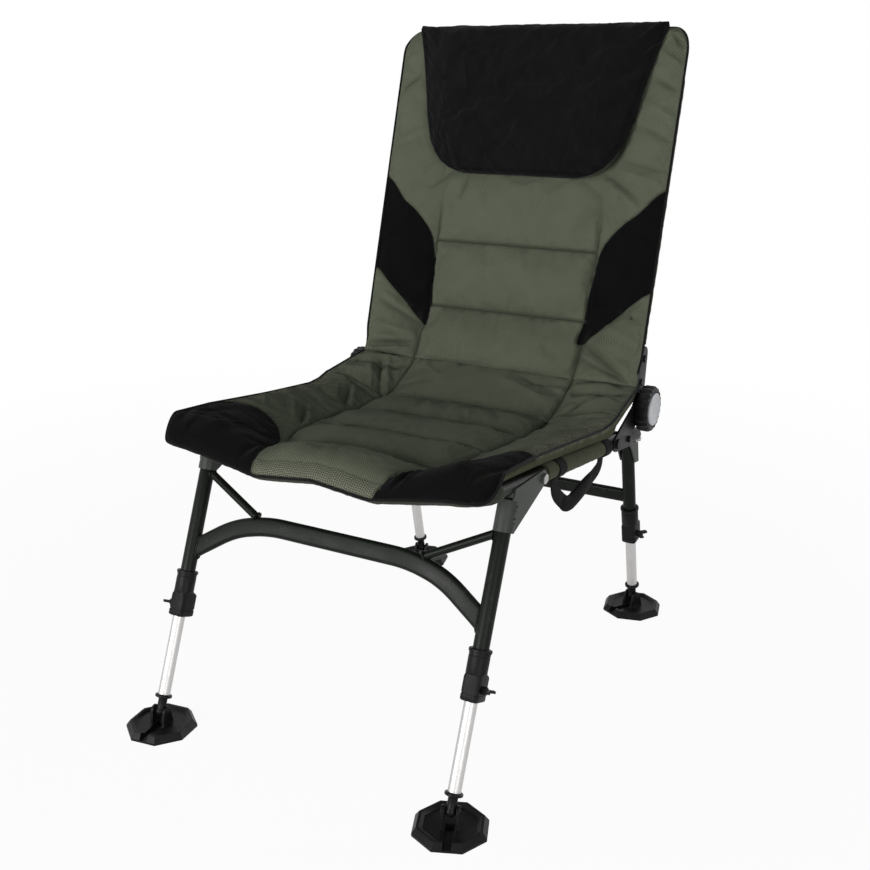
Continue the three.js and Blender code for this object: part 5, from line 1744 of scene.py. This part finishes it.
def superellipse(half_x, half_y, power, sides=48):
    """A section between a square, at a high power, and an ellipse, at power 2."""
    points = []
    for i in range(sides):
        angle = 2 * math.pi * i / sides
        c, s = math.cos(angle), math.sin(angle)
        across = half_x * math.copysign(abs(c) ** (2 / power), c)
        points.append((across, half_y * math.copysign(abs(s) ** (2 / power), s)))
    return points


def make_sleeve(end, name, line, start):
    """The plastic sleeve: a square clamp block below a round collar with a lip."""
    made = materials()
    middle = start + SLEEVE_BLOCK
    top = middle + SLEEVE_COLLAR
    stations = [
        (start, 10.5, 13.0, 4.5, 3.0), (start + 0.8, 12.2, 15.2, 5.5, 3.0),
        (start + 2.2, 13.0, 16.0, 6.0, 3.0), (start + 9, 13.0, 16.0, 6.0, 3.0),
        (start + 9.4, 12.4, 15.4, 6.0, 3.0), (start + 11.2, 12.4, 15.4, 6.0, 3.0),
        (start + 11.6, 13.0, 16.0, 6.0, 3.0), (middle - 3, 13.0, 16.0, 6.0, 3.0),
        (middle - 0.8, 12.6, 15.4, 5.0, 2.9), (middle + 0.6, 12.4, 14.4, 4.0, 1.6),
        (middle + 2.4, 13.9, 14.1, 2.4, 0.4), (middle + 4, 14.4, 14.4, 2.0, 0.0),
        (top - 9.6, 14.5, 14.5, 2.0, 0.0), (top - 9.2, 14.0, 14.0, 2.0, 0.0),
        (top - 8.2, 14.0, 14.0, 2.0, 0.0), (top - 7.8, 14.5, 14.5, 2.0, 0.0),
        (top - 4.6, 14.6, 14.6, 2.0, 0.0), (top - 4, 15.7, 15.7, 2.0, 0.0),
        (top - 0.7, 15.8, 15.8, 2.0, 0.0), (top, 15.1, 15.1, 2.0, 0.0), (top, 11.4, 11.4, 2.0, 0.0),
    ]
    turn = line.turn()
    loops = []
    for height, half_x, half_y, power, shift in stations:
        loop = superellipse(half_x, half_y, power)
        loops.append([line.pin + turn @ Vector((a, b + shift, height)) for a, b in loop])
    sleeve = sharpened(rings(f"{end}_clamp_{name}", loops))
    dressed(sleeve, f"{end}_legs", "black_plastic", made["moulded_plastic"], f"{end}_sleeve_{name}")


def make_plug(end, name, line):
    """The plug in the inner tube, with its ball in the foot."""
    angles = np.linspace(math.pi - 0.15, math.asin(NECK_RADIUS / BALL_RADIUS), 10)
    ball = [(BALL_RADIUS * math.sin(a), BALL_RADIUS * math.cos(a)) for a in angles]
    profile = ball + [
        (NECK_RADIUS, 19.5), (7.4, 21), (11.6, 21), (12.5, 21.8), (12.5, 24.2), (11.8, 25),
        (7.4, 25), (7.4, 46),
    ]
    plug = sharpened(turned(f"{end}_knuckle_{name}", profile, line.pin, line.up, 36))
    body = f"{end}_{name}_inner"
    dressed(plug, body, "black_plastic", materials()["foot_plastic"], f"{end}_foot_plug_{name}")


KNOB_RADIUS = 37.0
KNOB_THICK = 22.0
KNOB_LOBES = 20
KNOB_RIB = 1.7
KNOB_RIM = 5.0


def make_knobs():
    """The big recline knobs with their grip ribs and grey discs."""
    made = materials()
    for name, side in SIDES:
        low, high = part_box(f"recline_knob_{name}")
        inner_face = (low.x if side > 0 else high.x) / MM
        origin = Vector((inner_face, HINGE.y, HINGE.z))
        axis = Vector((side, 0, 0))

        def ribs(angle, radius):
            if radius < KNOB_RADIUS - KNOB_RIM:
                return 0.0
            return -KNOB_RIB * (0.5 - 0.5 * math.cos(KNOB_LOBES * angle)) ** 0.6

        rim = KNOB_RADIUS
        profile = [
            (6, 0.2), (rim - 6, 0.2), (rim - 4.6, 0.3), (rim - 1.2, 1.6), (rim, 4),
            (rim, KNOB_THICK - 5), (rim - 0.8, KNOB_THICK - 2.4), (rim - 3, KNOB_THICK - 0.5),
            (rim - 6, KNOB_THICK), (rim - 8.4, KNOB_THICK - 0.2), (rim - 9.6, KNOB_THICK - 1.2),
            (rim - 10.0, KNOB_THICK - 2),
        ]
        knob = sharpened(turned(f"grip_knob_{name}", profile, origin, axis, 240, ribs))
        body = f"knob_{name}"
        dressed(knob, body, "black_plastic", made["moulded_plastic"], f"recline_knob_{name}")
        start = KNOB_THICK - 2 + GAP
        face = [
            (26.0, start), (26.4, start + 0.6), (26.4, start + 2.4), (25.6, start + 3.2),
            (24, start + 3.6), (22.6, start + 3.2), (21.8, start + 2.9), (8, start + 2.7),
            (2, start + 2.7),
        ]
        disc = sharpened(turned(f"grey_disc_{name}", face, origin, axis, 72))
        dressed(disc, body, "grey_plastic", made["disc_plastic"], f"knob_disc_{name}")


# Stage


# Lamps: name, place and target in metres, width and height, and share of the key lamp's power
LAMPS = (
    ("key", (-1.0, -3.2, 0.95), (0, 0, 0.65), (1.8, 1.2), 1.0),
    ("fill", (2.6, -2.2, 0.9), (0, 0, 0.5), (1.4, 1.2), 0.4),
    ("top", (-0.8, -0.6, 2.6), (0, 0, 0.4), (1.2, 1.2), 0.06),
    ("behind", (1.8, 2.0, 1.2), (0, 0.1, 0.5), (0.8, 1.4), 0.25),
)
FLOOR_REACH = 9000
FLOOR_COLOUR = (0.94, 0.94, 0.94)
WHITE = (1, 1, 1, 1)
# How much the floor by the chair is seen as plain white, and where the fade starts and ends
NEAR_WHITE = 0.94
FADE_FROM = 0.7
FADE_TO = 2.2


def area_light(name, place, target, size, power):
    """A rectangular lamp that faces its target."""
    lamp = bpy.data.lights.new(name, "AREA")
    lamp.shape = "RECTANGLE"
    lamp.size, lamp.size_y = size
    lamp.energy = power
    light = bpy.data.objects.new(name, lamp)
    light.location = place
    aim = Vector(target) - Vector(place)
    light.rotation_euler = aim.to_track_quat("-Z", "Y").to_euler()
    bpy.context.scene.collection.objects.link(light)


def seen_white(tree, shader_output, share=None):
    """Mixes white towards camera, glossy and transmission rays into a surface or the world."""
    path = tree.nodes.new("ShaderNodeLightPath")
    seen = path.outputs["Is Camera Ray"]
    for kind in ("Is Glossy Ray", "Is Transmission Ray"):
        either = tree.nodes.new("ShaderNodeMath")
        either.operation = "MAXIMUM"
        tree.links.new(seen, either.inputs[0])
        tree.links.new(path.outputs[kind], either.inputs[1])
        seen = either.outputs[0]
    if share is not None:
        part = tree.nodes.new("ShaderNodeMath")
        part.operation = "MULTIPLY"
        tree.links.new(seen, part.inputs[0])
        tree.links.new(share, part.inputs[1])
        seen = part.outputs[0]
    mixed = tree.nodes.new("ShaderNodeMixShader")
    tree.links.new(seen, mixed.inputs[0])
    tree.links.new(shader_output, mixed.inputs[1])
    return mixed


def make_world(strength):
    """Plain light from all round, which is seen as white."""
    world = bpy.data.worlds.new("Studio")
    bpy.context.scene.world = world
    world.use_nodes = True
    tree = world.node_tree
    plain = tree.nodes["Background"]
    plain.inputs["Color"].default_value = WHITE
    plain.inputs["Strength"].default_value = strength
    white = tree.nodes.new("ShaderNodeBackground")
    white.inputs["Color"].default_value = WHITE
    mixed = seen_white(tree, plain.outputs[0])
    tree.links.new(white.outputs[0], mixed.inputs[2])
    tree.links.new(mixed.outputs[0], tree.nodes["World Output"].inputs["Surface"])


def make_floor():
    """A white floor that keeps the shadow near the chair and fades into the white round it."""
    corners = [(x * FLOOR_REACH, y * FLOOR_REACH, 0) for x, y in ((-1, -1), (1, -1), (1, 1), (-1, 1))]
    floor = new_piece("floor", corners, [(0, 1, 2, 3)])
    finish = Finish("floor_white", FLOOR_COLOUR, 0.7, Specular_IOR_Level=0.1)
    output = finish.tree.nodes["Material Output"]
    white = finish.add("ShaderNodeEmission", {"Color": WHITE, "Strength": 1.0})
    off = finish.add("ShaderNodeVectorMath", {0: finish.place()}, operation="LENGTH").outputs["Value"]
    share = finish.ramp(off, FADE_FROM, FADE_TO, NEAR_WHITE, 1.0)
    mixed = seen_white(finish.tree, finish.shader.outputs[0], share)
    finish.tree.links.new(white.outputs[0], mixed.inputs[2])
    finish.tree.links.new(mixed.outputs[0], output.inputs["Surface"])
    floor.data.materials.append(finish.material)


def make_camera(chair):
    """The camera at the photograph's place and angle."""
    camera = bpy.data.objects.new("camera", bpy.data.cameras.new("camera"))
    camera.location = chair.camera_place
    camera.rotation_euler = (math.pi / 2 - chair.camera_pitch, 0, chair.camera_yaw)
    camera.data.sensor_width = 36
    camera.data.lens = chair.camera_lens
    bpy.context.scene.collection.objects.link(camera)
    bpy.context.scene.camera = camera


# Settings, operators and panel


def colour(name, description, default):
    return FloatVectorProperty(
        name=name, description=description, default=default, size=3, min=0, max=1, subtype="COLOR",
    )


class ChairSettings(bpy.types.PropertyGroup):
    """Sizes and colours of the chair and its stage."""

    green: colour("Green cloth", "Main cloth of the seat and back", (0.098, 0.110, 0.078))
    olive: colour("Olive cloth", "Sleeves and stretched cloth", (0.048, 0.053, 0.029))
    black: colour("Black cloth", "Corner patches and headrest", (0.0040, 0.0038, 0.0042))
    net: colour("Net", "Open strips along the edges", (0.16, 0.17, 0.125))
    webbing: colour("Webbing", "Carry strap", (0.0032, 0.0032, 0.0034))
    paint: colour("Tube paint", "Legs, arch and frame tubes", (0.0070, 0.0092, 0.0066))
    grey_paint: colour("Grey paint", "Gussets and brackets", (0.050, 0.056, 0.050))
    black_paint: colour("Black paint", "Hinge plates and arms", (0.0065, 0.0070, 0.0062))
    plastic: colour("Black plastic", "Sleeves, knobs and feet", (0.0045, 0.0045, 0.0048))
    grid: FloatProperty(
        name="Cloth grid", description="Spacing of the cloth's points in millimetres", default=3.1,
        min=1.5, max=12,
    )
    seam_depth: FloatProperty(
        name="Seam depth", description="Depth of the sewn creases in millimetres", default=4.2,
        min=0, max=8,
    )
    fold_height: FloatProperty(
        name="Fold height", description="Scale of the folds and tucks", default=1.25, min=0, max=3,
    )
    camera_place: FloatVectorProperty(
        name="Camera place", description="Where the camera stands",
        default=(0.8623, -1.4823, 0.9441), size=3, subtype="TRANSLATION", unit="LENGTH",
    )
    camera_yaw: FloatProperty(
        name="Camera yaw", description="Turn of the camera to the left", default=math.radians(29.737),
        subtype="ANGLE",
    )
    camera_pitch: FloatProperty(
        name="Camera pitch", description="Tilt of the camera downward", default=math.radians(17.691),
        subtype="ANGLE",
    )
    camera_lens: FloatProperty(
        name="Lens", description="Focal length on a 36 mm frame", default=47.99,
        min=10, max=200, unit="CAMERA",
    )
    world_light: FloatProperty(
        name="World light", description="Strength of the light from all round", default=0.12,
        min=0, max=2,
    )
    key_light: FloatProperty(
        name="Key light", description="Power of the main lamp in watts", default=85, min=0, max=500,
    )


class StageOperator(bpy.types.Operator):
    """Make the floor, the lamps and the camera"""

    bl_idname = "chair.stage"
    bl_label = "Stage"

    def execute(self, context):
        chair = settings()
        make_world(chair.world_light)
        make_floor()
        for name, place, target, size, share in LAMPS:
            area_light(name, place, target, size, chair.key_light * share)
        make_camera(chair)
        context.scene.view_settings.view_transform = "Standard"
        return {"FINISHED"}


class SeatCushionOperator(bpy.types.Operator):
    """Make the quilted seat cushion"""

    bl_idname = "chair.seat_cushion"
    bl_label = "Seat cushion"

    def execute(self, context):
        make_seat_cushion()
        return {"FINISHED"}


class CornerCushionOperator(bpy.types.Operator):
    """Make the wedge of padding between the seat and the back"""

    bl_idname = "chair.corner_cushion"
    bl_label = "Corner cushion"

    def execute(self, context):
        make_corner_cushion()
        return {"FINISHED"}


class BackCushionOperator(bpy.types.Operator):
    """Make the quilted back cushion"""

    bl_idname = "chair.back_cushion"
    bl_label = "Back cushion"

    def execute(self, context):
        make_back_cushion()
        return {"FINISHED"}


class HeadrestOperator(bpy.types.Operator):
    """Make the black headrest pillow"""

    bl_idname = "chair.headrest"
    bl_label = "Headrest"

    def execute(self, context):
        make_headrest()
        return {"FINISHED"}


class CoversOperator(bpy.types.Operator):
    """Make the stretched cloth and its sleeves round the tubes"""

    bl_idname = "chair.covers"
    bl_label = "Covers and sleeves"

    def execute(self, context):
        make_covers()
        return {"FINISHED"}


class PipingOperator(bpy.types.Operator):
    """Make the bound edges of the cushions"""

    bl_idname = "chair.piping"
    bl_label = "Piping"

    def execute(self, context):
        make_piping()
        return {"FINISHED"}


class StrapOperator(bpy.types.Operator):
    """Make the carry strap"""

    bl_idname = "chair.strap"
    bl_label = "Carry strap"

    def execute(self, context):
        make_strap()
        return {"FINISHED"}


class ArchOperator(bpy.types.Operator):
    """Make the arch of the front legs with its struts and welds"""

    bl_idname = "chair.arch"
    bl_label = "Arch and struts"

    def execute(self, context):
        make_arch()
        return {"FINISHED"}


class LegsOperator(bpy.types.Operator):
    """Make the leg tubes, their sleeves and their plugs"""

    bl_idname = "chair.legs"
    bl_label = "Legs"

    def execute(self, context):
        make_legs()
        return {"FINISHED"}


class KnobsOperator(bpy.types.Operator):
    """Make the recline knobs"""

    bl_idname = "chair.knobs"
    bl_label = "Recline knobs"

    def execute(self, context):
        make_knobs()
        return {"FINISHED"}


class CarriedOperator(bpy.types.Operator):
    """Give the frame's own steel and plastic pieces their edges and finishes"""

    bl_idname = "chair.carried"
    bl_label = "Steel and plastic finishes"

    def execute(self, context):
        paint_carried_nodes()
        return {"FINISHED"}


STEPS = (
    StageOperator, SeatCushionOperator, CornerCushionOperator, BackCushionOperator, HeadrestOperator,
    CoversOperator, PipingOperator, StrapOperator, ArchOperator, LegsOperator, KnobsOperator,
    CarriedOperator,
)


class ChairPanel(bpy.types.Panel):
    """Settings and steps of the chair"""

    bl_idname = "VIEW3D_PT_chair"
    bl_label = "Carp fishing chair"
    bl_space_type = "VIEW_3D"
    bl_region_type = "UI"
    bl_category = "Chair"

    def draw(self, context):
        chair = context.scene.chair
        for key in ChairSettings.__annotations__:
            self.layout.prop(chair, key)
        for step in STEPS:
            self.layout.operator(step.bl_idname)


CLASSES = (ChairSettings, *STEPS, ChairPanel)


def register():
    for cls in CLASSES:
        bpy.utils.register_class(cls)
    bpy.types.Scene.chair = PointerProperty(type=ChairSettings)


def unregister():
    del bpy.types.Scene.chair
    for cls in reversed(CLASSES):
        bpy.utils.unregister_class(cls)


def main():
    register()
    for step in STEPS:
        group, action = step.bl_idname.split(".")
        getattr(getattr(bpy.ops, group), action)()


if __name__ == "__main__":
    main()
